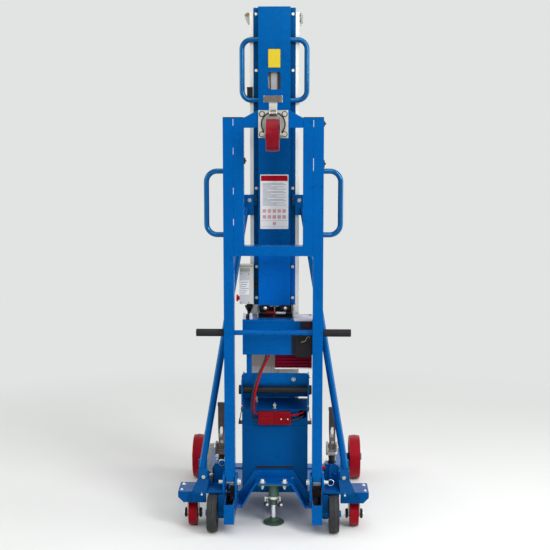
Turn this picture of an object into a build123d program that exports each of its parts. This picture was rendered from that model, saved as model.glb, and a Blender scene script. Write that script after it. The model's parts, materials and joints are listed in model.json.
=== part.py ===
from build123d import *
import math
import os

os.makedirs("parts", exist_ok=True)

# A glazing hoist for building sites: a wheeled base, a telescopic mast with its winch
# and battery, and a ladder-like front frame that folds down until its caster stands on the floor.
# Millimetres, +X to the right of the front view, +Y to the rear, +Z up, floor at zero.

# Fits
running_clearance = 0.05
slide_clearance = 0.5
seat_gap = 0.3

# Bolt heads
hex_sides = 6

# Side beams and deck
beam_height = 80.0
beam_wall = 4.0
beam_bottom_z = 45.0
beam_front_y = -378.0
beam_rear_y = 90.0
beam_slot_rear_y = -228.0
deck_thickness = 6.0

# Rear axle and wheels
rear_wheel_radius = 100.0
rear_wheel_width = 50.0
rear_wheel_x = 359.0
rear_axle_y = 356.0
rear_axle_radius = 10.0
axle_beam_size = 60.0
axle_beam_half_length = 320.0
axle_arm_width = 50.0
axle_beam_wall = 5.0
axle_beam_drain_radius = 5.0
axle_collar_length = 8.0
rear_spacer_radius = 16.0

# Front wheels, fixed beside the beam noses
front_wheel_radius = 75.0
front_wheel_width = 40.0
front_wheel_x = 243.0
front_wheel_y = -328.0
front_axle_radius = 8.0
front_spacer_radius = 13.0

# Hub, web and tread of all wheels
wheel_hub_radius = 22.0
wheel_rim_band = 16.0
wheel_web_width = 20.0
wheel_tread_chamfer = 5.0

# Folding front frame
leg_width = 40.0
leg_depth = 60.0
leg_wall = 3.0
leg_center_x = 175.0
leg_bottom_z = 215.0
leg_top_z = 1642.0
inner_tube_width = 40.0
inner_tube_bottom_z = 1108.0
crossbar_height = 39.0
hinge_y = -271.0
hinge_pin_radius = 8.0
hinge_pin_end_x = 222.0
hinge_pin_head_radius = 14.0
hinge_pin_head_length = 8.0
knuckle_thickness = 4.0
knuckle_radius = 22.0
plug_rim_height = 3.0
plug_depth = 15.0
plug_clearance = 0.2

# Frame head plate with its caster
head_plate_thickness = 12.0
head_half_width = 58.0
head_bottom_z = 1562.0
head_top_z = 1672.0
head_shoulder_bottom_z = 1604.0
frame_caster_z = 1618.0
frame_caster_height = 155.0
frame_caster_wheel_radius = 62.5
frame_caster_wheel_width = 50.0
frame_caster_trail = 42.0
frame_caster_crown_radius = 42.0
frame_caster_plate_width = 115.0
frame_caster_plate_height = 105.0
caster_plate_thickness = 6.0
plate_bolt_inset = 14.0
plate_bolt_head_radius = 8.0
plate_bolt_head_height = 5.5

# Brake pedal of the frame caster
pedal_width = 72.0
pedal_depth = 25.0
pedal_thickness = 4.0
pedal_reach = 107.0
pedal_pin_radius = 4.0
pedal_pin_reach = 40.0
pedal_pin_depth = 29.0
pedal_boss_half_width = 10.0
pedal_boss_radius = 8.0
pedal_ear_width = 5.0
pedal_ear_gap = 0.4

# Push bar with grips, and the bent tube handles
push_bar_z = 799.0
push_bar_radius = 10.0
push_bar_end_x = 303.0
grip_radius = 15.0
grip_start_x = 198.0
grip_cap = 4.0
handle_tube_radius = 10.5
frame_handle_bend = 42.0
mast_handle_bend = 38.0
frame_handle_outer_x = 272.0
frame_handle_bottom_z = 1179.0
frame_handle_top_z = 1448.0
mast_handle_outer_x = 140.5
mast_handle_bottom_z = 1705.0
mast_handle_top_z = 1965.0
mast_handle_y = -92.0

# Hinge brackets, bridge and floor lock
bracket_plate = 8.0
bracket_side_gap = 0.5
bracket_radius = 44.0
bracket_bottom_z = 90.0
bridge_front_y = -290.0
bridge_web_thickness = 8.0
bridge_flange_thickness = 6.0
bridge_top_z = 216.0
bridge_top_half_width = 80.0
bridge_flange_z = 180.0
bridge_flange_half_width = 70.0
bridge_shoulder_z = 116.0
bridge_foot_x = 127.0
bridge_foot_z = 82.0
floor_lock_y = -232.0
floor_lock_plate_half_width = 62.0
floor_lock_plate_front_y = -286.0
floor_lock_plate_rear_y = -208.0
floor_lock_plate_thickness = 6.0
floor_lock_bolt_spacing = 90.0
floor_lock_bolt_y = -256.0
floor_lock_bolt_radius = 5.0
floor_lock_sleeve_radius = 21.5
floor_lock_sleeve_bottom_z = 100.0
floor_lock_stem_radius = 10.0
floor_lock_stem_top_z = 138.0
floor_lock_disc_radius = 42.5
floor_lock_disc_thickness = 9.0
floor_lock_collar_radius = 17.0
floor_lock_collar_top_z = 24.0

# Outriggers with their swivel casters
outrigger_end_x = 382.0
outrigger_front_y = -321.0
outrigger_rear_y = -203.0
outrigger_top_z = 161.0
outrigger_plate = 8.0
outrigger_skirt = 6.0
outrigger_skirt_bottom_z = 116.0
outrigger_rear_flange_end_x = 275.0
outrigger_corner = 22.0
caster_x = 327.0
caster_y = -243.0
caster_wheel_radius = 50.0
caster_wheel_width = 36.0
caster_trail = 8.0
caster_crown_radius = 36.0
caster_plate_size = 70.0
wheel_side_clearance = 6.0

# Parts common to all swivel forks
crown_depth = 12.0
kingpin_radius = 8.0
fork_leg_thickness = 4.0
fork_leg_clearance = 2.0
fork_boss_radius = 14.0
caster_axle_radius = 6.0
axle_nut_radius = 9.0
axle_nut_length = 5.0

# Stays between mast and outriggers
stay_radius = 14.0
stay_wall = 3.0
stay_top_x = 116.0
stay_top_y = -97.0
stay_top_z = 1285.0
stay_bottom_x = 290.0
stay_bottom_y = -250.0
stay_bottom_z = 240.0
stay_tongue_thickness = 8.0
stay_tongue_half_width = 16.0
stay_tongue_overlap = 32.0
stay_bolt_radius = 5.0
stay_bolt_head_radius = 8.5
stay_bolt_head_height = 5.5
stay_nut_height = 7.0
stay_top_bolt_x = 101.0
stay_top_bolt_z = 1314.0
stay_foot_bolt_x = 285.0
stay_foot_bolt_z = 200.0
ear_outer_x = 130.0
ear_inner_x = 72.0
ear_height = 44.0
foot_lug_inner_x = 241.0
foot_lug_outer_x = 318.0
foot_lug_neck_half_width = 23.0
foot_lug_shoulder_z = 187.0
foot_lug_top_z = 222.0

# Telescopic mast
mast_width = 200.0
mast_depth = 150.0
mast_wall = 8.0
mast_slot_width = 140.0
mast_top_z = 2064.0
mast_groove_width = 6.0
mast_groove_depth = 3.0
mast_groove_pitch = 14.0
mast_groove_count = 3
inner_mast_wall = 6.0
inner_mast_slot_width = 120.0
inner_mast_lift_gap = 6.0
inner_mast_top_gap = 10.0

# Mast covers, hat-shaped sheet metal with a sling window
cover_plate_width = 129.0
cover_flange_width = 170.0
cover_front_y = -120.0
cover_sheet = 3.0
cover_top_z = 2081.0
cover_joint_z = 1132.0
cover_joint_gap = 1.0
cover_bottom_z = 882.0
window_width = 50.0
window_height = 70.0
window_center_z = 1792.0
window_corner = 10.0
cover_bolt_x = 74.0
cover_bolt_heights = (2056.0, 1834.0, 1362.0, 1040.0, 911.0)
cover_bolt_radius = 4.0
cover_bolt_head_radius = 7.0
cover_bolt_head_height = 5.0

# Lifting carriage behind the mast
carriage_bottom_z = 250.0
carriage_height = 300.0
carriage_wall = 8.0
carriage_neck_width = 108.0
carriage_plate_width = 180.0
carriage_plate_thickness = 12.0
carriage_plate_gap = 5.0
spigot_outer_radius = 36.0
spigot_bore_radius = 25.0
spigot_length = 98.0
spigot_bore_depth = 90.0

# Battery box on the deck
battery_box_left_x = -130.0
battery_box_right_x = 138.0
battery_box_front_y = -205.0
battery_box_depth = 125.0
battery_box_sheet = 3.0
battery_lid_joint_z = 404.0
battery_lid_front_z = 470.0
battery_lid_rear_z = 486.0
lead_hole_x = 117.0
lead_hole_z = 450.0
lead_hole_width = 30.0
lead_hole_height = 30.0
lead_hole_corner = 8.0
battery_gap = 10.0
battery_height = 250.0
connector_left_x = -63.0
connector_right_x = 69.0
connector_split_x = 4.0
connector_bottom_z = 411.0
connector_top_z = 464.0
connector_depth = 24.0

# Battery leads: each arc takes up to this share of the shorter of its two runs
lead_radius = 4.0
lead_arc_share = 0.45

# Winch housing, motor, drum and rope
winch_left_x = -126.0
winch_right_x = 156.0
winch_front_y = -215.0
winch_bottom_z = 698.0
winch_top_z = 841.0
winch_sheet = 3.0
drum_y = -126.0
drum_z = 768.0
drum_half_length = 45.0
drum_core_radius = 30.0
drum_flange_radius = 45.0
drum_flange_width = 5.0
drum_shaft_radius = 10.0
drum_shaft_reach = 14.0
drum_support_width = 10.0
drum_support_half_depth = 32.0
drum_support_top = 22.0
drum_side_gap = 3.0
gearbox_length = 20.0
motor_radius = 42.0
motor_length = 82.0
rope_radius = 3.0
rope_hole_radius = 8.0
rope_top_z = 1100.0

# Charger with cooling fins, and the boxes on the winch housing
charger_left_x = 4.0
charger_right_x = 154.0
charger_front_y = -205.0
charger_rear_y = -95.0
charger_bottom_z = 643.0
charger_fin_height = 14.0
charger_fin_width = 5.0
charger_fin_pitch = 11.0
switch_box_left_x = 87.0
switch_box_right_x = 152.0
switch_box_front_y = -236.0
switch_box_bottom_z = 704.0
switch_box_top_z = 782.0
switch_box_groove = 4.0
switch_box_groove_depth = 2.0
switch_box_groove_inset = 8.0
switch_box_grooves = 5
main_switch_x = 137.0
main_switch_z = 820.0
main_switch_radius = 11.0
main_switch_depth = 13.0
main_switch_shaft_radius = 4.0
main_switch_grip_width = 5.0
main_switch_grip_depth = 6.0

# Control box with stop button and cable
control_left_x = -143.0
control_right_x = -85.5
control_front_y = -112.0
control_bottom_z = 889.0
control_top_z = 1052.0
control_sheet = 3.0
stop_button_y = -93.5
stop_button_z = 911.0
stop_button_radius = 14.0
stop_button_cap = 8.0
stop_button_travel = 4.0
stop_button_stand_off = 2.0
stop_button_stem_radius = 8.0
stop_button_stem_length = 24.0
gland_x = -105.0
gland_y = -93.5
gland_radius = 17.0
gland_height = 20.0
control_cable_radius = 7.0

# Loading roller and its bracket
roller_y = -222.0
roller_center_x = 6.0
roller_z = 556.0
roller_radius = 14.0
roller_shaft_radius = 8.0
roller_cap_radius = 19.0
roller_cap_length = 10.0
roller_bracket_half_width = 137.0
roller_bracket_sheet = 6.0
roller_plate_front_y = -200.0
roller_plate_bottom_z = 569.0
roller_plate_top_z = 619.0
roller_plate_corner = 14.0
roller_cheek_front_y = -238.0
roller_cheek_bottom_z = 494.0
roller_cheek_top_z = 598.0
roller_back_bottom_z = 492.0
roller_back_top_z = 586.0
roller_post_left_x = -111.0
roller_post_width = 21.0

# Hand pumps on the side beams
pump_y = -165.0
left_pump_inset = 20.0
right_pump_inset = 0.0
pump_foot_depth = 66.0
pump_foot_thickness = 6.0
pump_inner_x = 203.0
pump_outer_x = 272.0
pump_body_top_z = 236.0
pump_neck_size = 24.0
pump_block_bottom_z = 273.0
pump_body_depth = 60.0
pump_block_inner_x = 214.0
pump_block_outer_x = 262.0
pump_block_top_z = 318.0
pump_block_depth = 46.0
pump_slot_bottom_z = 286.0
pump_lever_width = 30.0
pump_lever_depth = 14.0
left_lever_top_z = 488.0
right_lever_top_z = 470.0
pump_lever_gap = 0.4
pump_pivot_z = 303.0
pump_pivot_radius = 6.0
pump_lever_heel_gap = 3.0

# Places worked out from the sizes above
beam_top_z = beam_bottom_z + beam_height
deck_front_y = battery_box_front_y
hinge_z = leg_depth / 2 + frame_caster_height
leg_inner_x = leg_center_x - leg_width / 2
leg_outer_x = leg_center_x + leg_width / 2
frame_front_y = hinge_y - leg_depth / 2
frame_rear_y = hinge_y + leg_depth / 2
inner_tube_inner_x = leg_inner_x - inner_tube_width
bracket_inner_x = leg_inner_x - bracket_side_gap
bracket_outer_x = leg_outer_x + bracket_side_gap
bracket_end_x = bracket_outer_x + bracket_plate
bracket_start_x = bracket_inner_x - bracket_plate
beam_inner_x = bracket_inner_x
beam_outer_x = bracket_outer_x
mast_front_y = -mast_depth / 2
mast_rear_y = mast_depth / 2
flange_front_y = mast_front_y - cover_sheet
ear_front_y = flange_front_y - stay_tongue_thickness
tongue_front_y = ear_front_y - stay_tongue_thickness
outrigger_under_z = outrigger_top_z - outrigger_plate
foot_tongue_rear_y = stay_bottom_y + stay_tongue_thickness / 2
battery_box_rear_y = battery_box_front_y + battery_box_depth
roller_cheek_reach = roller_bracket_half_width - roller_bracket_sheet
caster_height = outrigger_under_z

turn_to = {"X": (0, 90, 0), "Y": (90, 0, 0), "Z": (0, 0, 0)}
both_sides = (("left", -1), ("right", 1))


def block(x_limits, y_limits, z_limits, mode=Mode.ADD):
    """Add a block between the given limits to the piece being built."""
    limits = (x_limits, y_limits, z_limits)
    with Locations(tuple((low + high) / 2 for low, high in limits)):
        Box(*(high - low for low, high in limits), mode=mode)


def rod(start, length, radius, axis, mode=Mode.ADD):
    """Add a round bar that runs from a point along +X, +Y or +Z to the piece being built."""
    middle = [place + (length / 2 if name == axis else 0) for name, place in zip("XYZ", start)]
    with Locations(tuple(middle)):
        Cylinder(radius, length, rotation=turn_to[axis], mode=mode)


def inset(limits, amount):
    """Move both limits inwards."""
    return (limits[0] + amount, limits[1] - amount)


def front_plane(y):
    """The upright plane at a depth, seen from the front: local x is X, local y is Z."""
    return Plane((0, y, 0), x_dir=(1, 0, 0), z_dir=(0, -1, 0))


def side_plane(x):
    """The upright plane at a width: local x is Y, local y is Z."""
    return Plane((x, 0, 0), x_dir=(0, 1, 0), z_dir=(1, 0, 0))


def bent_handle(start_x, outer_x, y, bottom_z, top_z, bend):
    """Add a D-shaped tube handle that stands out from a flat side."""
    reach_x = outer_x - handle_tube_radius
    low_z = bottom_z + handle_tube_radius
    high_z = top_z - handle_tube_radius
    with BuildLine() as path:
        FilletPolyline(
            (start_x, y, low_z), (reach_x, y, low_z), (reach_x, y, high_z), (start_x, y, high_z),
            radius=bend,
        )
    with BuildSketch(Plane((start_x, y, low_z), x_dir=(0, 1, 0), z_dir=(1, 0, 0))) as section:
        Circle(handle_tube_radius)
    sweep(section.sketch, path=path.line)


def hat_cover(bottom_z, top_z):
    """Add a hat-shaped cover: a raised front plate, two webs and two flanges on the mast."""
    half_plate = cover_plate_width / 2
    half_flange = cover_flange_width / 2
    half_inside = half_plate - cover_sheet
    inside_y = cover_front_y + cover_sheet
    right = [
        (half_plate, cover_front_y), (half_plate, flange_front_y), (half_flange, flange_front_y),
        (half_flange, mast_front_y), (half_inside, mast_front_y), (half_inside, inside_y),
    ]
    left = [(-x, y) for x, y in reversed(right)]
    with BuildSketch(Plane.XY.offset(bottom_z)) as section:
        with BuildLine():
            Polyline(*right, *left, close=True)
        make_face()
    extrude(section.sketch, amount=top_z - bottom_z)


def wheel_shape(radius, width, bore_radius, hub_radius, rim_radius, web_width, tread_chamfer):
    """Make a wheel about the local X axis: tread, web and hub in one bonded piece."""
    half = width / 2
    with BuildPart() as wheel:
        with BuildSketch(front_plane(0)):
            with BuildLine():
                half_section = [
                    (half, bore_radius), (half, hub_radius), (web_width / 2, hub_radius),
                    (web_width / 2, rim_radius), (half, rim_radius), (half, radius - tread_chamfer),
                    (half - tread_chamfer, radius),
                ]
                Polyline(*half_section, *[(-x, r) for x, r in reversed(half_section)], close=True)
            make_face()
        revolve(axis=Axis.X)
    return wheel.part


def swivel_fork(height, wheel_radius, wheel_width, trail, crown_radius):
    """Make a caster fork with kingpin and axle: mounting face at local zero, wheel trailing along -Y."""
    crown_top = -caster_plate_thickness - seat_gap
    axle_z = wheel_radius - height
    leg_inner = wheel_width / 2 + fork_leg_clearance
    leg_outer = leg_inner + fork_leg_thickness
    with BuildPart() as fork:
        rod((0, 0, crown_top - crown_depth), crown_depth, crown_radius, "Z")
        rod((0, 0, crown_top), caster_plate_thickness, kingpin_radius, "Z")
        crown_half_depth = math.sqrt(crown_radius**2 - leg_outer**2)
        for side in (-1, 1):
            with BuildSketch(side_plane(side * (leg_inner + leg_outer) / 2)):
                with Locations((-trail, axle_z)):
                    Circle(fork_boss_radius)
                with Locations((0, crown_top - crown_depth / 2)):
                    Rectangle(2 * crown_half_depth, crown_depth)
                make_hull()
            extrude(amount=fork_leg_thickness / 2, both=True)
        rod((-leg_outer, -trail, axle_z), 2 * leg_outer, caster_axle_radius, "X")
        for side in (-1, 1):
            nut_start = leg_outer if side > 0 else -leg_outer - axle_nut_length
            rod((nut_start, -trail, axle_z), axle_nut_length, axle_nut_radius, "X")
    return fork.part


def cord_tube(points, radius):
    """Add a tube along straight runs joined by tangent arcs, each arc as large as its runs allow."""
    vectors = [Vector(point) for point in points]
    runs = [after - before for before, after in zip(vectors, vectors[1:])]
    radii = []
    for before, after in zip(runs, runs[1:]):
        half_turn = math.radians(before.get_angle(after)) / 2
        radii.append(lead_arc_share * min(before.length, after.length) / math.tan(half_turn))
    with BuildLine() as path:
        FilletPolyline(*points, radius=radii)
    with BuildSketch(Plane(vectors[0], z_dir=runs[0])) as section:
        Circle(radius)
    sweep(section.sketch, path=path.line)
    length = path.wire().length
    print("cord radii", [round(value, 1) for value in radii], "length", round(length, 1))
    return math.pi * radius**2 * length


# Side beams: rectangular tubes with closed noses and an open top under the leg's foot,
# each with the fixed axle of its front wheel
with BuildPart() as side_beams:
    beam_x = (beam_inner_x, beam_outer_x)
    beam_z = (beam_bottom_z, beam_top_z)
    block(beam_x, (beam_front_y, beam_rear_y), beam_z)
    block(
        inset(beam_x, beam_wall), (beam_front_y + beam_wall, beam_rear_y), inset(beam_z, beam_wall),
        mode=Mode.SUBTRACT,
    )
    block(
        inset(beam_x, beam_wall), (beam_front_y + beam_wall, beam_slot_rear_y),
        (beam_top_z - beam_wall, beam_top_z), mode=Mode.SUBTRACT,
    )
    wheel_inner_x = front_wheel_x - front_wheel_width / 2 - seat_gap
    wheel_outer_x = front_wheel_x + front_wheel_width / 2 + seat_gap
    front_axle = (front_wheel_y, front_wheel_radius)
    rod((beam_inner_x, *front_axle), wheel_outer_x - beam_inner_x, front_axle_radius, "X")
    rod((beam_outer_x, *front_axle), wheel_inner_x - beam_outer_x, front_spacer_radius, "X")
    rod((wheel_outer_x, *front_axle), axle_collar_length, front_spacer_radius, "X")
    mirror(about=Plane.YZ)
side_beams.part.label = "side_beams"
export_step(side_beams.part, "parts/side_beams.step")

# Deck plate between the beams
with BuildPart() as base_deck:
    deck_z = (beam_top_z - deck_thickness, beam_top_z)
    block((-beam_inner_x, beam_inner_x), (deck_front_y, beam_rear_y), deck_z)
base_deck.part.label = "base_deck"
export_step(base_deck.part, "parts/base_deck.step")

# Rear axle: a cross beam behind the mast, an arm back to each wheel and its stub axle
with BuildPart() as rear_axle_beam:
    axle_z = (rear_wheel_radius - axle_beam_size / 2, rear_wheel_radius + axle_beam_size / 2)
    cross_x = (-axle_beam_half_length, axle_beam_half_length)
    cross_y = (beam_rear_y, beam_rear_y + axle_beam_size)
    arm_x = (axle_beam_half_length - axle_arm_width, axle_beam_half_length)
    arm_y = (cross_y[1] - axle_beam_wall, rear_axle_y + axle_beam_size / 2)
    block(cross_x, cross_y, axle_z)
    block(arm_x, arm_y, axle_z)
    block(*(inset(limits, axle_beam_wall) for limits in (cross_x, cross_y, axle_z)), mode=Mode.SUBTRACT)
    block(
        inset(arm_x, axle_beam_wall), (arm_y[0], arm_y[1] - axle_beam_wall), inset(axle_z, axle_beam_wall),
        mode=Mode.SUBTRACT,
    )
    drain_y = (cross_y[0] + cross_y[1]) / 2
    rod((0, drain_y, axle_z[0]), axle_beam_wall, axle_beam_drain_radius, "Z", mode=Mode.SUBTRACT)
    rear_axle = (rear_axle_y, rear_wheel_radius)
    hub_inner_x = rear_wheel_x - rear_wheel_width / 2 - seat_gap
    hub_outer_x = rear_wheel_x + rear_wheel_width / 2 + seat_gap
    for start, end, radius in (
        (axle_beam_half_length, hub_outer_x, rear_axle_radius),
        (axle_beam_half_length, hub_inner_x, rear_spacer_radius),
        (hub_outer_x, hub_outer_x + axle_collar_length, rear_spacer_radius),
    ):
        rod((start, *rear_axle), end - start, radius, "X")
    mirror(about=Plane.YZ)
rear_axle_beam.part.label = "rear_axle_beam"
export_step(rear_axle_beam.part, "parts/rear_axle_beam.step")

# Outriggers: a top plate with skirts, the caster's plate below and the stay's lug above
with BuildPart() as outriggers:
    top_z = (outrigger_under_z, outrigger_top_z)
    skirt_z = (outrigger_skirt_bottom_z, outrigger_under_z)
    skirt_start_x = front_wheel_x + front_wheel_width / 2 + wheel_side_clearance
    plate_y = (outrigger_front_y, outrigger_rear_y)
    block((bracket_end_x, outrigger_end_x), plate_y, top_z)
    front_skirt = [
        (skirt_start_x, outrigger_under_z), (outrigger_end_x, outrigger_under_z),
        (outrigger_end_x, outrigger_skirt_bottom_z + outrigger_corner),
        (outrigger_end_x - outrigger_corner, outrigger_skirt_bottom_z),
        (skirt_start_x, outrigger_skirt_bottom_z),
    ]
    with BuildSketch(front_plane(outrigger_front_y + outrigger_skirt)):
        with BuildLine():
            Polyline(*front_skirt, close=True)
        make_face()
    extrude(amount=outrigger_skirt)
    end_skirt_z = (outrigger_skirt_bottom_z + outrigger_corner, outrigger_under_z)
    block((outrigger_end_x - outrigger_skirt, outrigger_end_x), plate_y, end_skirt_z)
    block(
        (bracket_end_x, outrigger_rear_flange_end_x),
        (outrigger_rear_y - outrigger_skirt, outrigger_rear_y), skirt_z,
    )
    neck_inner_x = stay_foot_bolt_x - foot_lug_neck_half_width
    neck_outer_x = stay_foot_bolt_x + foot_lug_neck_half_width
    lug = [
        (foot_lug_inner_x, outrigger_top_z), (neck_inner_x, foot_lug_shoulder_z),
        (neck_inner_x, foot_lug_top_z), (neck_outer_x, foot_lug_top_z),
        (neck_outer_x, foot_lug_shoulder_z), (foot_lug_outer_x, outrigger_top_z),
    ]
    with BuildSketch(front_plane(foot_tongue_rear_y + stay_tongue_thickness)):
        with BuildLine():
            Polyline(*lug, close=True)
        make_face()
    extrude(amount=stay_tongue_thickness)
    rod(
        (stay_foot_bolt_x, foot_tongue_rear_y, stay_foot_bolt_z), stay_tongue_thickness,
        stay_bolt_radius + running_clearance, "Y", mode=Mode.SUBTRACT,
    )
    half_plate = caster_plate_size / 2
    plate_z = (outrigger_under_z - caster_plate_thickness, outrigger_under_z)
    block(
        (caster_x - half_plate, caster_x + half_plate), (caster_y - half_plate, caster_y + half_plate),
        plate_z,
    )
    rod(
        (caster_x, caster_y, plate_z[0]), caster_plate_thickness,
        kingpin_radius + running_clearance, "Z", mode=Mode.SUBTRACT,
    )
    mirror(about=Plane.YZ)
outriggers.part.label = "outriggers"
export_step(outriggers.part, "parts/outriggers.step")

# Hinge brackets: a pair of upright plates beside each beam
with BuildPart() as hinge_brackets:
    for plate_start_x in (bracket_start_x, bracket_outer_x):
        with BuildSketch(side_plane(plate_start_x)):
            with Locations((hinge_y, hinge_z)):
                Circle(bracket_radius)
            with Locations((hinge_y, (bracket_bottom_z + hinge_z) / 2)):
                Rectangle(2 * bracket_radius, hinge_z - bracket_bottom_z)
            with Locations((hinge_y, hinge_z)):
                Circle(hinge_pin_radius + running_clearance, mode=Mode.SUBTRACT)
        extrude(amount=bracket_plate)
    mirror(about=Plane.YZ)
hinge_brackets.part.label = "hinge_brackets"
export_step(hinge_brackets.part, "parts/hinge_brackets.step")

# Hinge pins: heads towards the middle
with BuildPart() as hinge_pins:
    head_start_x = bracket_start_x - hinge_pin_head_length
    rod((head_start_x, hinge_y, hinge_z), hinge_pin_head_length, hinge_pin_head_radius, "X")
    rod((bracket_start_x, hinge_y, hinge_z), hinge_pin_end_x - bracket_start_x, hinge_pin_radius, "X")
    mirror(about=Plane.YZ)
hinge_pins.part.label = "hinge_pins"
export_step(hinge_pins.part, "parts/hinge_pins.step")

# Bridge: an arched angle between the hinge plates, its web at the rear and its flange to the front
with BuildPart() as bridge_beam:
    right_foot = [
        (bracket_start_x, bridge_foot_z), (bridge_foot_x, bridge_foot_z),
        (bridge_flange_half_width, bridge_flange_z),
    ]
    arch = right_foot + [(-x, z) for x, z in reversed(right_foot)]
    web_top = [
        (-bracket_start_x, bridge_shoulder_z), (-bridge_top_half_width, bridge_top_z),
        (bridge_top_half_width, bridge_top_z), (bracket_start_x, bridge_shoulder_z),
    ]
    with BuildSketch(front_plane(battery_box_front_y)):
        with BuildLine():
            Polyline(*arch, *web_top, close=True)
        make_face()
    extrude(amount=bridge_web_thickness)
    with BuildSketch(front_plane(battery_box_front_y)):
        with BuildLine():
            Polyline(*arch)
            offset(amount=bridge_flange_thickness, kind=Kind.INTERSECTION, side=Side.RIGHT)
        make_face()
    extrude(amount=battery_box_front_y - bridge_front_y)
    for bolt_x in (-floor_lock_bolt_spacing / 2, floor_lock_bolt_spacing / 2):
        rod(
            (bolt_x, floor_lock_bolt_y, bridge_flange_z), bridge_flange_thickness,
            floor_lock_bolt_radius + running_clearance, "Z", mode=Mode.SUBTRACT,
        )
bridge_beam.part.label = "bridge_beam"
export_step(bridge_beam.part, "parts/bridge_beam.step")

# Floor lock: bolted under the bridge, with a foot that slides in its sleeve
with BuildPart() as floor_lock_body:
    lock_y = (floor_lock_plate_front_y, floor_lock_plate_rear_y)
    lock_plate_z = (bridge_flange_z - floor_lock_plate_thickness, bridge_flange_z)
    block((-floor_lock_plate_half_width, floor_lock_plate_half_width), lock_y, lock_plate_z)
    sleeve_length = lock_plate_z[0] - floor_lock_sleeve_bottom_z
    sleeve_start = (0, floor_lock_y, floor_lock_sleeve_bottom_z)
    rod(sleeve_start, sleeve_length, floor_lock_sleeve_radius, "Z")
    rod(sleeve_start, sleeve_length, floor_lock_stem_radius + running_clearance, "Z", mode=Mode.SUBTRACT)
    for bolt_x in (-floor_lock_bolt_spacing / 2, floor_lock_bolt_spacing / 2):
        bolt_start = (bolt_x, floor_lock_bolt_y, lock_plate_z[0] - stay_nut_height)
        head_start = (bolt_x, floor_lock_bolt_y, bridge_flange_z + bridge_flange_thickness)
        rod(bolt_start, stay_nut_height, stay_bolt_head_radius, "Z")
        rod(bolt_start, head_start[2] - bolt_start[2], floor_lock_bolt_radius, "Z")
        rod(head_start, stay_bolt_head_height, stay_bolt_head_radius, "Z")
floor_lock_body.part.label = "floor_lock_body"
export_step(floor_lock_body.part, "parts/floor_lock_body.step")

with BuildPart() as floor_lock_foot:
    rod((0, floor_lock_y, 0), floor_lock_disc_thickness, floor_lock_disc_radius, "Z")
    rod((0, floor_lock_y, 0), floor_lock_collar_top_z, floor_lock_collar_radius, "Z")
    rod((0, floor_lock_y, 0), floor_lock_stem_top_z, floor_lock_stem_radius, "Z")
floor_lock_foot.part.label = "floor_lock_foot"
export_step(floor_lock_foot.part, "parts/floor_lock_foot.step")

# Outer mast: an aluminium channel, slotted to the rear, with grooves down its front
with BuildPart() as mast_outer:
    with BuildSketch(Plane.XY.offset(beam_top_z)):
        Rectangle(mast_width, mast_depth)
        Rectangle(mast_width - 2 * mast_wall, mast_depth - 2 * mast_wall, mode=Mode.SUBTRACT)
        with Locations((0, mast_rear_y - mast_wall / 2)):
            Rectangle(mast_slot_width, mast_wall, mode=Mode.SUBTRACT)
        with Locations((0, mast_front_y + mast_groove_depth / 2)):
            with GridLocations(mast_groove_pitch, 0, mast_groove_count, 1):
                Rectangle(mast_groove_width, mast_groove_depth, mode=Mode.SUBTRACT)
    extrude(amount=mast_top_z - beam_top_z)
    for bolt_z in cover_bolt_heights:
        for bolt_x in (-cover_bolt_x, cover_bolt_x):
            rod(
                (bolt_x, mast_front_y, bolt_z), mast_wall, cover_bolt_radius + running_clearance, "Y",
                mode=Mode.SUBTRACT,
            )
mast_outer.part.label = "mast_outer"
export_step(mast_outer.part, "parts/mast_outer.step")

# Inner mast: slides in the outer one
inner_mast_width = mast_width - 2 * mast_wall - 2 * slide_clearance
inner_mast_depth = mast_depth - 2 * mast_wall - 2 * slide_clearance
inner_mast_bottom_z = beam_top_z + inner_mast_lift_gap
with BuildPart() as mast_inner:
    with BuildSketch(Plane.XY.offset(inner_mast_bottom_z)):
        Rectangle(inner_mast_width, inner_mast_depth)
        Rectangle(
            inner_mast_width - 2 * inner_mast_wall, inner_mast_depth - 2 * inner_mast_wall,
            mode=Mode.SUBTRACT,
        )
        with Locations((0, (inner_mast_depth - inner_mast_wall) / 2)):
            Rectangle(inner_mast_slot_width, inner_mast_wall, mode=Mode.SUBTRACT)
    extrude(amount=mast_top_z - inner_mast_top_gap - inner_mast_bottom_z)
mast_inner.part.label = "mast_inner"
export_step(mast_inner.part, "parts/mast_inner.step")

# Lifting carriage: a slider in the inner mast, a neck through both slots and a plate with a socket
with BuildPart() as lift_carriage:
    slider_half_x = inner_mast_width / 2 - inner_mast_wall - slide_clearance
    slider_half_y = inner_mast_depth / 2 - inner_mast_wall - slide_clearance
    slider_x = (-slider_half_x, slider_half_x)
    slider_y = (-slider_half_y, slider_half_y)
    carriage_z = (carriage_bottom_z, carriage_bottom_z + carriage_height)
    block(slider_x, slider_y, carriage_z)
    block(inset(slider_x, carriage_wall), inset(slider_y, carriage_wall), carriage_z, mode=Mode.SUBTRACT)
    plate_front_y = mast_rear_y + carriage_plate_gap
    plate_rear_y = plate_front_y + carriage_plate_thickness
    neck_x = (-carriage_neck_width / 2, carriage_neck_width / 2)
    block(neck_x, (slider_half_y - carriage_wall, plate_front_y), carriage_z)
    block((-carriage_plate_width / 2, carriage_plate_width / 2), (plate_front_y, plate_rear_y), carriage_z)
    spigot_z = carriage_bottom_z + carriage_height / 2
    rod((0, plate_rear_y, spigot_z), spigot_length, spigot_outer_radius, "Y")
    rod(
        (0, plate_rear_y + spigot_length - spigot_bore_depth, spigot_z), spigot_bore_depth,
        spigot_bore_radius, "Y", mode=Mode.SUBTRACT,
    )
lift_carriage.part.label = "lift_carriage"
export_step(lift_carriage.part, "parts/lift_carriage.step")


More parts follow.
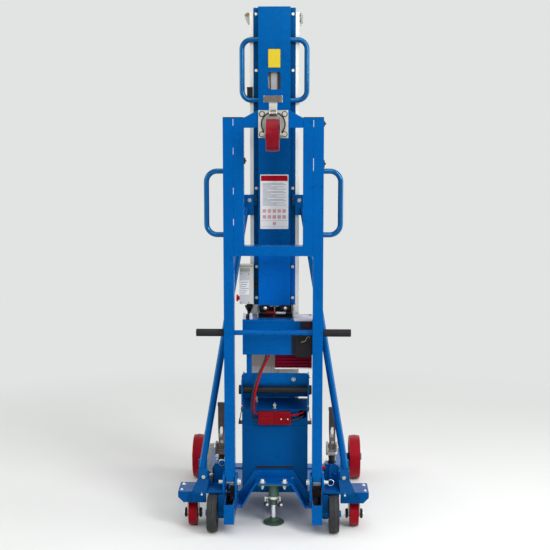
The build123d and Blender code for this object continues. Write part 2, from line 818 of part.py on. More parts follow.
def cover_bolt_holes(heights):
    """Cut the bolt holes of a cover's flanges."""
    for bolt_z in heights:
        for bolt_x in (-cover_bolt_x, cover_bolt_x):
            rod(
                (bolt_x, flange_front_y, bolt_z), cover_sheet, cover_bolt_radius + running_clearance, "Y",
                mode=Mode.SUBTRACT,
            )


# Upper mast cover with its top plate and sling window
with BuildPart() as mast_cover_upper:
    hat_cover(cover_joint_z, cover_top_z)
    half_inside = cover_plate_width / 2 - cover_sheet
    roof_z = (cover_top_z - cover_sheet, cover_top_z)
    block((-half_inside, half_inside), (cover_front_y, mast_front_y), roof_z)
    with BuildSketch(front_plane(cover_front_y + cover_sheet)):
        with Locations((0, window_center_z)):
            RectangleRounded(window_width, window_height, window_corner)
    extrude(amount=cover_sheet, mode=Mode.SUBTRACT)
    cover_bolt_holes([z for z in cover_bolt_heights if z > cover_joint_z])
mast_cover_upper.part.label = "mast_cover_upper"
export_step(mast_cover_upper.part, "parts/mast_cover_upper.step")

# Lower mast cover
with BuildPart() as mast_cover_lower:
    hat_cover(cover_bottom_z, cover_joint_z - cover_joint_gap)
    cover_bolt_holes([z for z in cover_bolt_heights if z < cover_joint_z])
mast_cover_lower.part.label = "mast_cover_lower"
export_step(mast_cover_lower.part, "parts/mast_cover_lower.step")

# Tube handles on the upper cover's webs
with BuildPart() as mast_handles:
    bent_handle(
        cover_plate_width / 2, mast_handle_outer_x, mast_handle_y, mast_handle_bottom_z,
        mast_handle_top_z, mast_handle_bend,
    )
    mirror(about=Plane.YZ)
mast_handles.part.label = "mast_handles"
export_step(mast_handles.part, "parts/mast_handles.step")

# Ears on the mast and the stays bolted to them and to the outriggers
with BuildPart() as stays:
    top_end = Vector(stay_top_x, stay_top_y, stay_top_z)
    bottom_end = Vector(stay_bottom_x, stay_bottom_y, stay_bottom_z)
    stay_run = bottom_end - top_end
    with BuildSketch(Plane(top_end, z_dir=stay_run)):
        Circle(stay_radius)
        Circle(stay_radius - stay_wall, mode=Mode.SUBTRACT)
    extrude(amount=stay_run.length)
    tongue_top_x = (stay_top_bolt_x - stay_tongue_half_width, stay_top_x + stay_radius)
    tongue_foot_x = (stay_foot_bolt_x - stay_tongue_half_width, stay_bottom_x + stay_radius)
    foot_tongue_front_y = foot_tongue_rear_y - stay_tongue_thickness
    block(
        tongue_top_x, (tongue_front_y, ear_front_y),
        (stay_top_z - stay_tongue_overlap, stay_top_bolt_z + stay_tongue_half_width),
    )
    block(
        tongue_foot_x, (foot_tongue_front_y, foot_tongue_rear_y),
        (stay_foot_bolt_z - stay_tongue_half_width, stay_bottom_z + stay_tongue_overlap),
    )
    hole_radius = stay_bolt_radius + running_clearance
    rod(
        (stay_top_bolt_x, tongue_front_y, stay_top_bolt_z), stay_tongue_thickness, hole_radius, "Y",
        mode=Mode.SUBTRACT,
    )
    rod(
        (stay_foot_bolt_x, foot_tongue_front_y, stay_foot_bolt_z), stay_tongue_thickness, hole_radius, "Y",
        mode=Mode.SUBTRACT,
    )
    mirror(about=Plane.YZ)
stays.part.label = "stays"
export_step(stays.part, "parts/stays.step")

with BuildPart() as stay_ears:
    ear_z = (stay_top_bolt_z - ear_height / 2, stay_top_bolt_z + ear_height / 2)
    block((ear_inner_x, ear_outer_x), (ear_front_y, flange_front_y), ear_z)
    rod(
        (stay_top_bolt_x, ear_front_y, stay_top_bolt_z), stay_tongue_thickness, hole_radius, "Y",
        mode=Mode.SUBTRACT,
    )
    mirror(about=Plane.YZ)
stay_ears.part.label = "stay_ears"
export_step(stay_ears.part, "parts/stay_ears.step")

# Hex bolts that hold the covers and the stays
with BuildPart() as hex_bolts:
    cover_bolt_places = [
        (x, flange_front_y, z) for z in cover_bolt_heights for x in (-cover_bolt_x, cover_bolt_x)
    ]
    stay_bolt_places = [
        (side * x, y, z)
        for side in (-1, 1)
        for x, y, z in (
            (stay_top_bolt_x, tongue_front_y, stay_top_bolt_z),
            (stay_foot_bolt_x, foot_tongue_front_y, stay_foot_bolt_z),
        )
    ]
    cover_bolt_head = (cover_bolt_head_radius, cover_bolt_head_height)
    stay_bolt_head = (stay_bolt_head_radius, stay_bolt_head_height)
    cover_bolt_shank = (cover_bolt_radius, cover_sheet + mast_wall)
    stay_bolt_shank = (stay_bolt_radius, 2 * stay_tongue_thickness)
    for places, (head_radius, head_height), (shank_radius, shank_length) in (
        (cover_bolt_places, cover_bolt_head, cover_bolt_shank),
        (stay_bolt_places, stay_bolt_head, stay_bolt_shank),
    ):
        for bolt_x, head_y, bolt_z in places:
            with BuildSketch(front_plane(head_y)):
                with Locations((bolt_x, bolt_z)):
                    RegularPolygon(head_radius, hex_sides)
            extrude(amount=head_height)
            rod((bolt_x, head_y, bolt_z), shank_length, shank_radius, "Y")
hex_bolts.part.label = "hex_bolts"
export_step(hex_bolts.part, "parts/hex_bolts.step")

# Battery box, its lid and the battery
battery_box_x = (battery_box_left_x, battery_box_right_x)
battery_box_y = (battery_box_front_y, battery_box_rear_y)
with BuildPart() as battery_box:
    block(battery_box_x, battery_box_y, (beam_top_z, battery_lid_joint_z))
    block(
        inset(battery_box_x, battery_box_sheet), inset(battery_box_y, battery_box_sheet),
        (beam_top_z + battery_box_sheet, battery_lid_joint_z), mode=Mode.SUBTRACT,
    )
battery_box.part.label = "battery_box"
export_step(battery_box.part, "parts/battery_box.step")

with BuildPart() as battery_lid:
    for sheet, mode in ((0, Mode.ADD), (battery_box_sheet, Mode.SUBTRACT)):
        lid_x = inset(battery_box_x, sheet)
        lid_front_y, lid_rear_y = inset(battery_box_y, sheet)
        with BuildSketch(side_plane(lid_x[0])):
            with BuildLine():
                Polyline(
                    (lid_front_y, battery_lid_joint_z), (lid_rear_y, battery_lid_joint_z),
                    (lid_rear_y, battery_lid_rear_z - sheet), (lid_front_y, battery_lid_front_z - sheet),
                    close=True,
                )
            make_face()
        extrude(amount=lid_x[1] - lid_x[0], mode=mode)
    with BuildSketch(front_plane(battery_box_front_y + battery_box_sheet)):
        with Locations((lead_hole_x, lead_hole_z)):
            RectangleRounded(lead_hole_width, lead_hole_height, lead_hole_corner)
    extrude(amount=battery_box_sheet, mode=Mode.SUBTRACT)
battery_lid.part.label = "battery_lid"
export_step(battery_lid.part, "parts/battery_lid.step")

with BuildPart() as battery:
    battery_bottom_z = beam_top_z + battery_box_sheet
    block(
        inset(battery_box_x, battery_gap), inset(battery_box_y, battery_gap),
        (battery_bottom_z, battery_bottom_z + battery_height),
    )
battery.part.label = "battery"
export_step(battery.part, "parts/battery.step")

# Two-part battery connector on the lid's front
with BuildPart() as battery_connector:
    connector_y = (battery_box_front_y - connector_depth, battery_box_front_y)
    connector_z = (connector_bottom_z, connector_top_z)
    block((connector_left_x, connector_split_x), connector_y, connector_z)
    block((connector_split_x + seat_gap, connector_right_x), connector_y, connector_z)
battery_connector.part.label = "battery_connector"
export_step(battery_connector.part, "parts/battery_connector.step")

# Leads: from the winch housing to the connector in front of the roller, and from there through the lid's hole
red_winch_route = (
    (-20, -203, 698), (-20, -203, 680), (-34, -216, 652), (-51, -232, 622), (-68, -250, 584),
    (-80, -257, 550), (-88, -256, 518), (-91, -246, 490), (-94, -231, 465), (-81, -219, 453),
    (-63, -219, 453),
)
black_winch_route = (
    (-31, -197, 698), (-31, -197, 680), (-46, -212, 650), (-63, -230, 618), (-80, -249, 580),
    (-92, -258, 545), (-99, -256, 510), (-102, -246, 474), (-101, -230, 444), (-86, -219, 428),
    (-63, -219, 428),
)
red_battery_route = (
    (69, -219, 449), (85, -219, 449), (101, -216, 454), (114, -207, 457), (124, -194, 458),
)
black_battery_route = (
    (69, -219, 429), (85, -219, 429), (101, -216, 436), (114, -207, 441), (124, -194, 443),
)

with BuildPart() as winch_lead_red:
    expected = cord_tube(red_winch_route, lead_radius)
print("winch_lead_red volume ratio", round(winch_lead_red.part.volume / expected, 4))
winch_lead_red.part.label = "winch_lead_red"
export_step(winch_lead_red.part, "parts/winch_lead_red.step")

with BuildPart() as winch_lead_black:
    expected = cord_tube(black_winch_route, lead_radius)
print("winch_lead_black volume ratio", round(winch_lead_black.part.volume / expected, 4))
winch_lead_black.part.label = "winch_lead_black"
export_step(winch_lead_black.part, "parts/winch_lead_black.step")

with BuildPart() as battery_leads:
    expected = sum(cord_tube(route, lead_radius) for route in (red_battery_route, black_battery_route))
print("battery_leads volume ratio", round(battery_leads.part.volume / expected, 4))
battery_leads.part.label = "battery_leads"
export_step(battery_leads.part, "parts/battery_leads.step")

# Winch housing: a closed sheet-metal box on the mast's front, with a hole for the rope
rope_y = drum_y + drum_core_radius + seat_gap + rope_radius
with BuildPart() as winch_housing:
    winch_x = (winch_left_x, winch_right_x)
    winch_y = (winch_front_y, mast_front_y)
    winch_z = (winch_bottom_z, winch_top_z)
    block(winch_x, winch_y, winch_z)
    block(*(inset(limits, winch_sheet) for limits in (winch_x, winch_y, winch_z)), mode=Mode.SUBTRACT)
    rod((0, rope_y, winch_top_z - winch_sheet), winch_sheet, rope_hole_radius, "Z", mode=Mode.SUBTRACT)
    rod(
        (main_switch_x, winch_front_y, main_switch_z), winch_sheet,
        main_switch_shaft_radius + running_clearance, "Y", mode=Mode.SUBTRACT,
    )
winch_housing.part.label = "winch_housing"
export_step(winch_housing.part, "parts/winch_housing.step")

# Winch drum on its shaft
with BuildPart() as winch_drum:
    rod((-drum_half_length, drum_y, drum_z), 2 * drum_half_length, drum_core_radius, "X")
    for flange_x in (-drum_half_length, drum_half_length - drum_flange_width):
        rod((flange_x, drum_y, drum_z), drum_flange_width, drum_flange_radius, "X")
    shaft_start_x = -drum_half_length - drum_shaft_reach
    rod((shaft_start_x, drum_y, drum_z), -2 * shaft_start_x, drum_shaft_radius, "X")
winch_drum.part.label = "winch_drum"
export_step(winch_drum.part, "parts/winch_drum.step")

# Winch motor with its gearbox, and the plate that carries the drum's other end
with BuildPart() as winch_motor:
    support_y = (drum_y - drum_support_half_depth, drum_y + drum_support_half_depth)
    support_z = (winch_bottom_z + winch_sheet, drum_z + drum_support_top)
    support_start_x = drum_half_length + drum_side_gap
    gearbox_end_x = support_start_x + gearbox_length
    block((-support_start_x - drum_support_width, -support_start_x), support_y, support_z)
    block((support_start_x, gearbox_end_x), support_y, support_z)
    rod((gearbox_end_x, drum_y, drum_z), motor_length, motor_radius, "X")
    rod(
        (shaft_start_x - seat_gap, drum_y, drum_z), 2 * (seat_gap - shaft_start_x),
        drum_shaft_radius + running_clearance, "X", mode=Mode.SUBTRACT,
    )
winch_motor.part.label = "winch_motor"
export_step(winch_motor.part, "parts/winch_motor.step")

# Lifting rope, tight between the drum and the mast drive behind the lower cover
with BuildPart() as lift_rope:
    rod((0, rope_y, drum_z), rope_top_z - drum_z, rope_radius, "Z")
lift_rope.part.label = "lift_rope"
export_step(lift_rope.part, "parts/lift_rope.step")

# Charger under the housing, with level cooling fins
with BuildPart() as charger:
    charger_z = (charger_bottom_z, winch_bottom_z)
    fin_root_y = charger_front_y + charger_fin_height
    charger_x = (charger_left_x, charger_right_x)
    block(charger_x, (fin_root_y, charger_rear_y), charger_z)
    fin_count = int((winch_bottom_z - charger_bottom_z - charger_fin_width) / charger_fin_pitch) + 1
    for index in range(fin_count):
        fin_z = charger_bottom_z + index * charger_fin_pitch
        block(charger_x, (charger_front_y, fin_root_y), (fin_z, fin_z + charger_fin_width))
charger.part.label = "charger"
export_step(charger.part, "parts/charger.step")

# Louvred switch box on the housing's front
with BuildPart() as switch_box:
    switch_z = (switch_box_bottom_z, switch_box_top_z)
    switch_x = (switch_box_left_x, switch_box_right_x)
    block(switch_x, (switch_box_front_y, winch_front_y), switch_z)
    groove_pitch = (switch_z[1] - switch_z[0]) / (switch_box_grooves + 1)
    for index in range(switch_box_grooves):
        groove_z = switch_z[0] + (index + 1) * groove_pitch
        block(
            inset(switch_x, switch_box_groove_inset),
            (switch_box_front_y, switch_box_front_y + switch_box_groove_depth),
            (groove_z - switch_box_groove / 2, groove_z + switch_box_groove / 2), mode=Mode.SUBTRACT,
        )
switch_box.part.label = "switch_box"
export_step(switch_box.part, "parts/switch_box.step")

# Main switch: a knob with a grip bar, turning in the housing's front
with BuildPart() as main_switch:
    knob_rear_y = winch_front_y - seat_gap
    knob_front_y = knob_rear_y - main_switch_depth
    knob_start = (main_switch_x, knob_front_y, main_switch_z)
    rod(knob_start, main_switch_depth, main_switch_radius, "Y")
    shaft_length = main_switch_depth + seat_gap + winch_sheet
    rod(knob_start, shaft_length, main_switch_shaft_radius, "Y")
    groove_y = (knob_front_y, knob_front_y + main_switch_grip_depth)
    for side in (-1, 1):
        near_x = main_switch_x + side * main_switch_grip_width / 2
        far_x = main_switch_x + side * main_switch_radius
        block(
            (min(near_x, far_x), max(near_x, far_x)), groove_y,
            (main_switch_z - main_switch_radius, main_switch_z + main_switch_radius), mode=Mode.SUBTRACT,
        )
main_switch.part.label = "main_switch"
export_step(main_switch.part, "parts/main_switch.step")

# Control box beside the lower cover
with BuildPart() as control_box:
    control_x = (control_left_x, control_right_x)
    control_y = (control_front_y, mast_front_y)
    control_z = (control_bottom_z, control_top_z)
    block(control_x, control_y, control_z)
    control_limits = (control_x, control_y, control_z)
    block(*(inset(limits, control_sheet) for limits in control_limits), mode=Mode.SUBTRACT)
    rod(
        (control_left_x, stop_button_y, stop_button_z), control_sheet,
        stop_button_stem_radius + running_clearance, "X", mode=Mode.SUBTRACT,
    )
control_box.part.label = "control_box"
export_step(control_box.part, "parts/control_box.step")

# Stop button on the control box's left side
with BuildPart() as stop_button:
    cap_end_x = control_left_x - stop_button_travel - stop_button_stand_off
    cap_start = (cap_end_x - stop_button_cap, stop_button_y, stop_button_z)
    rod(cap_start, stop_button_cap, stop_button_radius, "X")
    rod((cap_end_x, stop_button_y, stop_button_z), stop_button_stem_length, stop_button_stem_radius, "X")
stop_button.part.label = "stop_button"
export_step(stop_button.part, "parts/stop_button.step")

# Control cable with its gland, held between the control box and the winch housing
with BuildPart() as control_cable:
    gland_bottom_z = control_bottom_z - gland_height
    rod((gland_x, gland_y, gland_bottom_z), gland_height, gland_radius, "Z")
    rod((gland_x, gland_y, winch_top_z), gland_bottom_z - winch_top_z, control_cable_radius, "Z")
control_cable.part.label = "control_cable"
export_step(control_cable.part, "parts/control_cable.step")

# Bracket of the loading roller: back plate, two cheeks, a front plate and a post to the housing
with BuildPart() as roller_bracket:
    bracket_left_x = roller_center_x - roller_bracket_half_width
    bracket_x = (bracket_left_x, roller_center_x + roller_bracket_half_width)
    back_y = (mast_front_y - roller_bracket_sheet, mast_front_y)
    block(bracket_x, back_y, (roller_back_bottom_z, roller_back_top_z))
    for side in (-1, 1):
        near_x = roller_center_x + side * roller_cheek_reach
        far_x = roller_center_x + side * roller_bracket_half_width
        block(
            (min(near_x, far_x), max(near_x, far_x)), (roller_cheek_front_y, back_y[0]),
            (roller_cheek_bottom_z, roller_cheek_top_z),
        )
    plate_rear_y = roller_plate_front_y + roller_bracket_sheet
    with BuildSketch(front_plane(plate_rear_y)):
        with Locations((roller_center_x, (roller_plate_bottom_z + roller_plate_top_z) / 2)):
            Rectangle(2 * roller_bracket_half_width, roller_plate_top_z - roller_plate_bottom_z)
        fillet(vertices().group_by(Axis.Z)[-1], roller_plate_corner)
    extrude(amount=roller_bracket_sheet)
    block(
        (roller_post_left_x, roller_post_left_x + roller_post_width),
        (roller_plate_front_y, roller_plate_front_y + roller_post_width),
        (roller_plate_top_z - roller_bracket_sheet, winch_bottom_z),
    )
    rod(
        (bracket_left_x, roller_y, roller_z), 2 * roller_bracket_half_width,
        roller_shaft_radius + running_clearance, "X", mode=Mode.SUBTRACT,
    )
roller_bracket.part.label = "roller_bracket"
export_step(roller_bracket.part, "parts/roller_bracket.step")

# Loading roller with its shaft and end caps
with BuildPart() as loading_roller:
    roller_half_length = roller_cheek_reach - seat_gap
    cap_reach = roller_bracket_half_width + seat_gap
    for half_length, radius in (
        (roller_half_length, roller_radius), (cap_reach + roller_cap_length, roller_shaft_radius),
    ):
        rod((roller_center_x - half_length, roller_y, roller_z), 2 * half_length, radius, "X")
    for start_x in (roller_center_x - cap_reach - roller_cap_length, roller_center_x + cap_reach):
        rod((start_x, roller_y, roller_z), roller_cap_length, roller_cap_radius, "X")
loading_roller.part.label = "loading_roller"
export_step(loading_roller.part, "parts/loading_roller.step")

# Hand pumps: foot, body, neck and a slotted block that carries the lever
pump_sides = (
    ("left", -1, left_pump_inset, left_lever_top_z), ("right", 1, right_pump_inset, right_lever_top_z),
)
slot_inner_x = (pump_block_inner_x + pump_block_outer_x - pump_lever_width) / 2 - pump_lever_gap
slot_outer_x = slot_inner_x + pump_lever_width + 2 * pump_lever_gap


def pump_limits(side, inset_x, inner_x, outer_x):
    """Left and right limits of a pump's form that reaches from one distance off the middle to another."""
    return tuple(sorted((side * (inner_x - inset_x), side * (outer_x - inset_x))))


with BuildPart() as pumps:
    foot_y = (pump_y - pump_foot_depth / 2, pump_y + pump_foot_depth / 2)
    body_y = (pump_y - pump_body_depth / 2, pump_y + pump_body_depth / 2)
    block_y = (pump_y - pump_block_depth / 2, pump_y + pump_block_depth / 2)
    neck_y = (pump_y - pump_neck_size / 2, pump_y + pump_neck_size / 2)
    foot_top_z = beam_top_z + pump_foot_thickness
    neck_inner_x = (pump_block_inner_x + pump_block_outer_x - pump_neck_size) / 2
    for _, side, pump_inset, _ in pump_sides:
        foot_x = pump_limits(side, 0, beam_inner_x, pump_outer_x - pump_inset)
        body_x = pump_limits(side, pump_inset, pump_inner_x, pump_outer_x)
        neck_x = pump_limits(side, pump_inset, neck_inner_x, neck_inner_x + pump_neck_size)
        block_x = pump_limits(side, pump_inset, pump_block_inner_x, pump_block_outer_x)
        slot_x = pump_limits(side, pump_inset, slot_inner_x, slot_outer_x)
        block(foot_x, foot_y, (beam_top_z, foot_top_z))
        block(body_x, body_y, (foot_top_z, pump_body_top_z))
        block(neck_x, neck_y, (pump_body_top_z, pump_block_bottom_z))
        block(block_x, block_y, (pump_block_bottom_z, pump_block_top_z))
        block(slot_x, block_y, (pump_slot_bottom_z, pump_block_top_z), mode=Mode.SUBTRACT)
        rod(
            (block_x[0], pump_y, pump_pivot_z), block_x[1] - block_x[0],
            pump_pivot_radius + running_clearance, "X", mode=Mode.SUBTRACT,
        )
pumps.part.label = "pumps"
export_step(pumps.part, "parts/pumps.step")

# Pump levers, each with its pivot pin
for name, side, pump_inset, lever_top_z in pump_sides:
    with BuildPart() as pump_lever:
        block_x = pump_limits(side, pump_inset, pump_block_inner_x, pump_block_outer_x)
        lever_x = inset(pump_limits(side, pump_inset, slot_inner_x, slot_outer_x), pump_lever_gap)
        lever_y = (pump_y - pump_lever_depth / 2, pump_y + pump_lever_depth / 2)
        block(lever_x, lever_y, (pump_slot_bottom_z + pump_lever_heel_gap, lever_top_z))
        rod((block_x[0], pump_y, pump_pivot_z), block_x[1] - block_x[0], pump_pivot_radius, "X")
    pump_lever.part.label = f"pump_lever_{name}"
    export_step(pump_lever.part, f"parts/pump_lever_{name}.step")

# Frame legs: tubes with two hinge lugs at the foot, bored for the push bar
with BuildPart() as frame_legs:
    leg_x = (leg_inner_x, leg_outer_x)
    frame_y = (frame_front_y, frame_rear_y)
    block(leg_x, frame_y, (leg_bottom_z, leg_top_z))
    block(
        inset(leg_x, leg_wall), inset(frame_y, leg_wall), (leg_bottom_z + leg_wall, leg_top_z),
        mode=Mode.SUBTRACT,
    )
    for knuckle_x in (leg_inner_x, leg_outer_x - knuckle_thickness):
        with BuildSketch(side_plane(knuckle_x)):
            with Locations((hinge_y, hinge_z)):
                Circle(knuckle_radius)
            with Locations((hinge_y, (hinge_z + leg_bottom_z) / 2)):
                Rectangle(2 * knuckle_radius, leg_bottom_z - hinge_z)
            with Locations((hinge_y, hinge_z)):
                Circle(hinge_pin_radius + running_clearance, mode=Mode.SUBTRACT)
        extrude(amount=knuckle_thickness)
    rod(
        (leg_inner_x, hinge_y, push_bar_z), leg_width, push_bar_radius + running_clearance, "X",
        mode=Mode.SUBTRACT,
    )
    mirror(about=Plane.YZ)
frame_legs.part.label = "frame_legs"
export_step(frame_legs.part, "parts/frame_legs.step")

# Inner tubes welded beside the legs
with BuildPart() as frame_inner_tubes:
    inner_tube_x = (inner_tube_inner_x, leg_inner_x)
    block(inner_tube_x, frame_y, (inner_tube_bottom_z, leg_top_z))
    block(
        inset(inner_tube_x, leg_wall), inset(frame_y, leg_wall),
        (inner_tube_bottom_z + leg_wall, leg_top_z), mode=Mode.SUBTRACT,
    )
    mirror(about=Plane.YZ)
frame_inner_tubes.part.label = "frame_inner_tubes"
export_step(frame_inner_tubes.part, "parts/frame_inner_tubes.step")

# Plugs in the open tops of legs and inner tubes
with BuildPart() as tube_plugs:
    for tube_x in (leg_x, inner_tube_x):
        block(inset(tube_x, plug_clearance), frame_y, (leg_top_z, leg_top_z + plug_rim_height))
        plug_inset = leg_wall + plug_clearance
        block(inset(tube_x, plug_inset), inset(frame_y, plug_inset), (leg_top_z - plug_depth, leg_top_z))
    mirror(about=Plane.YZ)
tube_plugs.part.label = "tube_plugs"
export_step(tube_plugs.part, "parts/tube_plugs.step")

# Crossbar between the inner tubes
with BuildPart() as frame_crossbar:
    crossbar_x = (-inner_tube_inner_x, inner_tube_inner_x)
    crossbar_z = (inner_tube_bottom_z, inner_tube_bottom_z + crossbar_height)
    block(crossbar_x, frame_y, crossbar_z)
    block(crossbar_x, inset(frame_y, leg_wall), inset(crossbar_z, leg_wall), mode=Mode.SUBTRACT)
frame_crossbar.part.label = "frame_crossbar"
export_step(frame_crossbar.part, "parts/frame_crossbar.step")

# Head plate between the inner tubes, flush with the frame's front
with BuildPart() as frame_head:
    right_edge = [
        (head_half_width, head_top_z), (inner_tube_inner_x, leg_top_z),
        (inner_tube_inner_x, head_shoulder_bottom_z), (head_half_width, head_shoulder_bottom_z),
        (head_half_width, head_bottom_z),
    ]
    with BuildSketch(front_plane(frame_front_y + head_plate_thickness)):
        with BuildLine():
            Polyline(*right_edge, *[(-x, z) for x, z in reversed(right_edge)], close=True)
        make_face()
    extrude(amount=head_plate_thickness)
frame_head.part.label = "frame_head"
export_step(frame_head.part, "parts/frame_head.step")

# Push bar through the legs, with a grip on each end
with BuildPart() as push_bar:
    rod((-push_bar_end_x, hinge_y, push_bar_z), 2 * push_bar_end_x, push_bar_radius, "X")
push_bar.part.label = "push_bar"
export_step(push_bar.part, "parts/push_bar.step")

with BuildPart() as push_grips:
    grip_start = (grip_start_x, hinge_y, push_bar_z)
    rod(grip_start, push_bar_end_x + grip_cap - grip_start_x, grip_radius, "X")
    rod(
        grip_start, push_bar_end_x - grip_start_x, push_bar_radius + running_clearance, "X",
        mode=Mode.SUBTRACT,
    )
    mirror(about=Plane.YZ)
push_grips.part.label = "push_grips"
export_step(push_grips.part, "parts/push_grips.step")

# Tube handles on the legs
with BuildPart() as frame_handles:
    bent_handle(
        leg_outer_x, frame_handle_outer_x, hinge_y, frame_handle_bottom_z, frame_handle_top_z,
        frame_handle_bend,
    )
    mirror(about=Plane.YZ)
frame_handles.part.label = "frame_handles"
export_step(frame_handles.part, "parts/frame_handles.step")

# Frame caster: bolted plate, fork with the brake's boss, wheel and brake pedal
frame_caster_plane = Plane((0, frame_front_y, frame_caster_z), x_dir=(-1, 0, 0), z_dir=(0, 1, 0))
with BuildPart() as caster_plate:
    block(
        (-frame_caster_plate_width / 2, frame_caster_plate_width / 2),
        (-frame_caster_plate_height / 2, frame_caster_plate_height / 2), (-caster_plate_thickness, 0),
    )
    bolt_spacing = (
        frame_caster_plate_width - 2 * plate_bolt_inset, frame_caster_plate_height - 2 * plate_bolt_inset
    )
    with Locations((0, 0, -caster_plate_thickness - plate_bolt_head_height / 2)):
        with GridLocations(*bolt_spacing, 2, 2):
            Cylinder(plate_bolt_head_radius, plate_bolt_head_height)
    rod(
        (0, 0, -caster_plate_thickness), caster_plate_thickness, kingpin_radius + running_clearance, "Z",
        mode=Mode.SUBTRACT,
    )
frame_caster_plate = frame_caster_plane.location * caster_plate.part
frame_caster_plate.label = "frame_caster_plate"
export_step(frame_caster_plate, "parts/frame_caster_plate.step")

frame_fork_shape = swivel_fork(
    frame_caster_height, frame_caster_wheel_radius, frame_caster_wheel_width, frame_caster_trail,
    frame_caster_crown_radius,
)
with BuildPart() as caster_fork:
    add(frame_fork_shape)
    boss_x = (-pedal_boss_half_width, pedal_boss_half_width)
    boss_y = (pedal_pin_reach - pedal_boss_radius, pedal_pin_reach + pedal_boss_radius)
    crown_top_z = -caster_plate_thickness - seat_gap
    boss_start = (-pedal_boss_half_width, pedal_pin_reach, -pedal_pin_depth)
    boss_width = 2 * pedal_boss_half_width
    block(boss_x, boss_y, (-pedal_pin_depth, crown_top_z - crown_depth / 2))
    block(boss_x, (0, boss_y[0]), (crown_top_z - crown_depth, crown_top_z))
    rod(boss_start, boss_width, pedal_boss_radius, "X")
    rod(boss_start, boss_width, pedal_pin_radius + running_clearance, "X", mode=Mode.SUBTRACT)
frame_caster_fork = frame_caster_plane.location * caster_fork.part
frame_caster_fork.label = "frame_caster_fork"
export_step(frame_caster_fork, "parts/frame_caster_fork.step")

with BuildPart() as brake_pedal:
    ear_start = pedal_boss_half_width + pedal_ear_gap
    ear_end = ear_start + pedal_ear_width
    arm_end_y = pedal_reach - pedal_depth
    arm_start_y = pedal_pin_reach + pedal_boss_radius + pedal_ear_width
    pedal_z = (-pedal_pin_depth - pedal_thickness / 2, -pedal_pin_depth + pedal_thickness / 2)
    for ear_x in (-ear_end, ear_start):
        rod((ear_x, pedal_pin_reach, -pedal_pin_depth), pedal_ear_width, pedal_boss_radius, "X")
        block((ear_x, ear_x + pedal_ear_width), (pedal_pin_reach, arm_start_y), pedal_z)
    block((-ear_end, ear_end), (arm_start_y, arm_end_y), pedal_z)
    block((-pedal_width / 2, pedal_width / 2), (arm_end_y, pedal_reach), pedal_z)
    rod((-ear_end, pedal_pin_reach, -pedal_pin_depth), 2 * ear_end, pedal_pin_radius, "X")
frame_caster_brake = frame_caster_plane.location * brake_pedal.part
frame_caster_brake.label = "frame_caster_brake"
export_step(frame_caster_brake, "parts/frame_caster_brake.step")


def export_wheel(label, radius, width, bore_radius, center):
    """Make a wheel at a place with its axle along X and write it."""
    shape = wheel_shape(
        radius, width, bore_radius + running_clearance, wheel_hub_radius, radius - wheel_rim_band,
        wheel_web_width, wheel_tread_chamfer,
    )
    wheel = Location(center) * shape
    wheel.label = label
    export_step(wheel, f"parts/{label}.step")


frame_axle_y = frame_front_y - frame_caster_height + frame_caster_wheel_radius
export_wheel(
    "frame_caster_wheel", frame_caster_wheel_radius, frame_caster_wheel_width, caster_axle_radius,
    (0, frame_axle_y, frame_caster_z - frame_caster_trail),
)

# Outrigger casters, front wheels and rear wheels
for name, side in both_sides:
    outrigger_fork = Location((side * caster_x, caster_y, caster_height)) * swivel_fork(
        caster_height, caster_wheel_radius, caster_wheel_width, caster_trail, caster_crown_radius
    )
    outrigger_fork.label = f"caster_fork_{name}"
    export_step(outrigger_fork, f"parts/caster_fork_{name}.step")
    export_wheel(
        f"caster_wheel_{name}", caster_wheel_radius, caster_wheel_width, caster_axle_radius,
        (side * caster_x, caster_y - caster_trail, caster_wheel_radius),
    )
    export_wheel(
        f"front_wheel_{name}", front_wheel_radius, front_wheel_width, front_axle_radius,
        (side * front_wheel_x, front_wheel_y, front_wheel_radius),
    )
    export_wheel(
        f"rear_wheel_{name}", rear_wheel_radius, rear_wheel_width, rear_axle_radius,
        (side * rear_wheel_x, rear_axle_y, rear_wheel_radius),
    )
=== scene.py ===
import json
from math import cos, pi, radians, sin, sqrt

import bmesh
import bpy
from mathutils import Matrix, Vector


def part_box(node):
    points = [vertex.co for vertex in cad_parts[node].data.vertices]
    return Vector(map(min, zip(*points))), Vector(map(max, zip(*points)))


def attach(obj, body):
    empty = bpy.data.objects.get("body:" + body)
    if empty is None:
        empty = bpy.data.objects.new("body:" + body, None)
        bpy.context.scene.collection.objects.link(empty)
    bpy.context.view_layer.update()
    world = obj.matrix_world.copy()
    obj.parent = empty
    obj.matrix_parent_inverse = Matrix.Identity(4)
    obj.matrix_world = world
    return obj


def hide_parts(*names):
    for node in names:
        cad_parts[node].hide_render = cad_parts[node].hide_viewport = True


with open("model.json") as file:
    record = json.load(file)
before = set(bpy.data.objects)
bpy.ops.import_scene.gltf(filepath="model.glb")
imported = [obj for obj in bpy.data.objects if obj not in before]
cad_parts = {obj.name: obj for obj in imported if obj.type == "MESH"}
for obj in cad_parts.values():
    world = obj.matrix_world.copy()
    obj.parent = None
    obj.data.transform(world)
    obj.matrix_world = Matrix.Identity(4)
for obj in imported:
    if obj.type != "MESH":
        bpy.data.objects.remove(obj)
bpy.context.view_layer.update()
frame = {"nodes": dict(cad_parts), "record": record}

MM = 0.001
X, Y, Z = Vector((1, 0, 0)), Vector((0, 1, 0)), Vector((0, 0, 1))
SIDES = ((-1, "left"), (1, "right"))
PALE = "E1E4E2"
scene = bpy.context.scene


def add_object(name, data):
    """A new object in the scene."""
    made = bpy.data.objects.new(name, data)
    scene.collection.objects.link(made)
    return made


# Camera and lamps, in metres

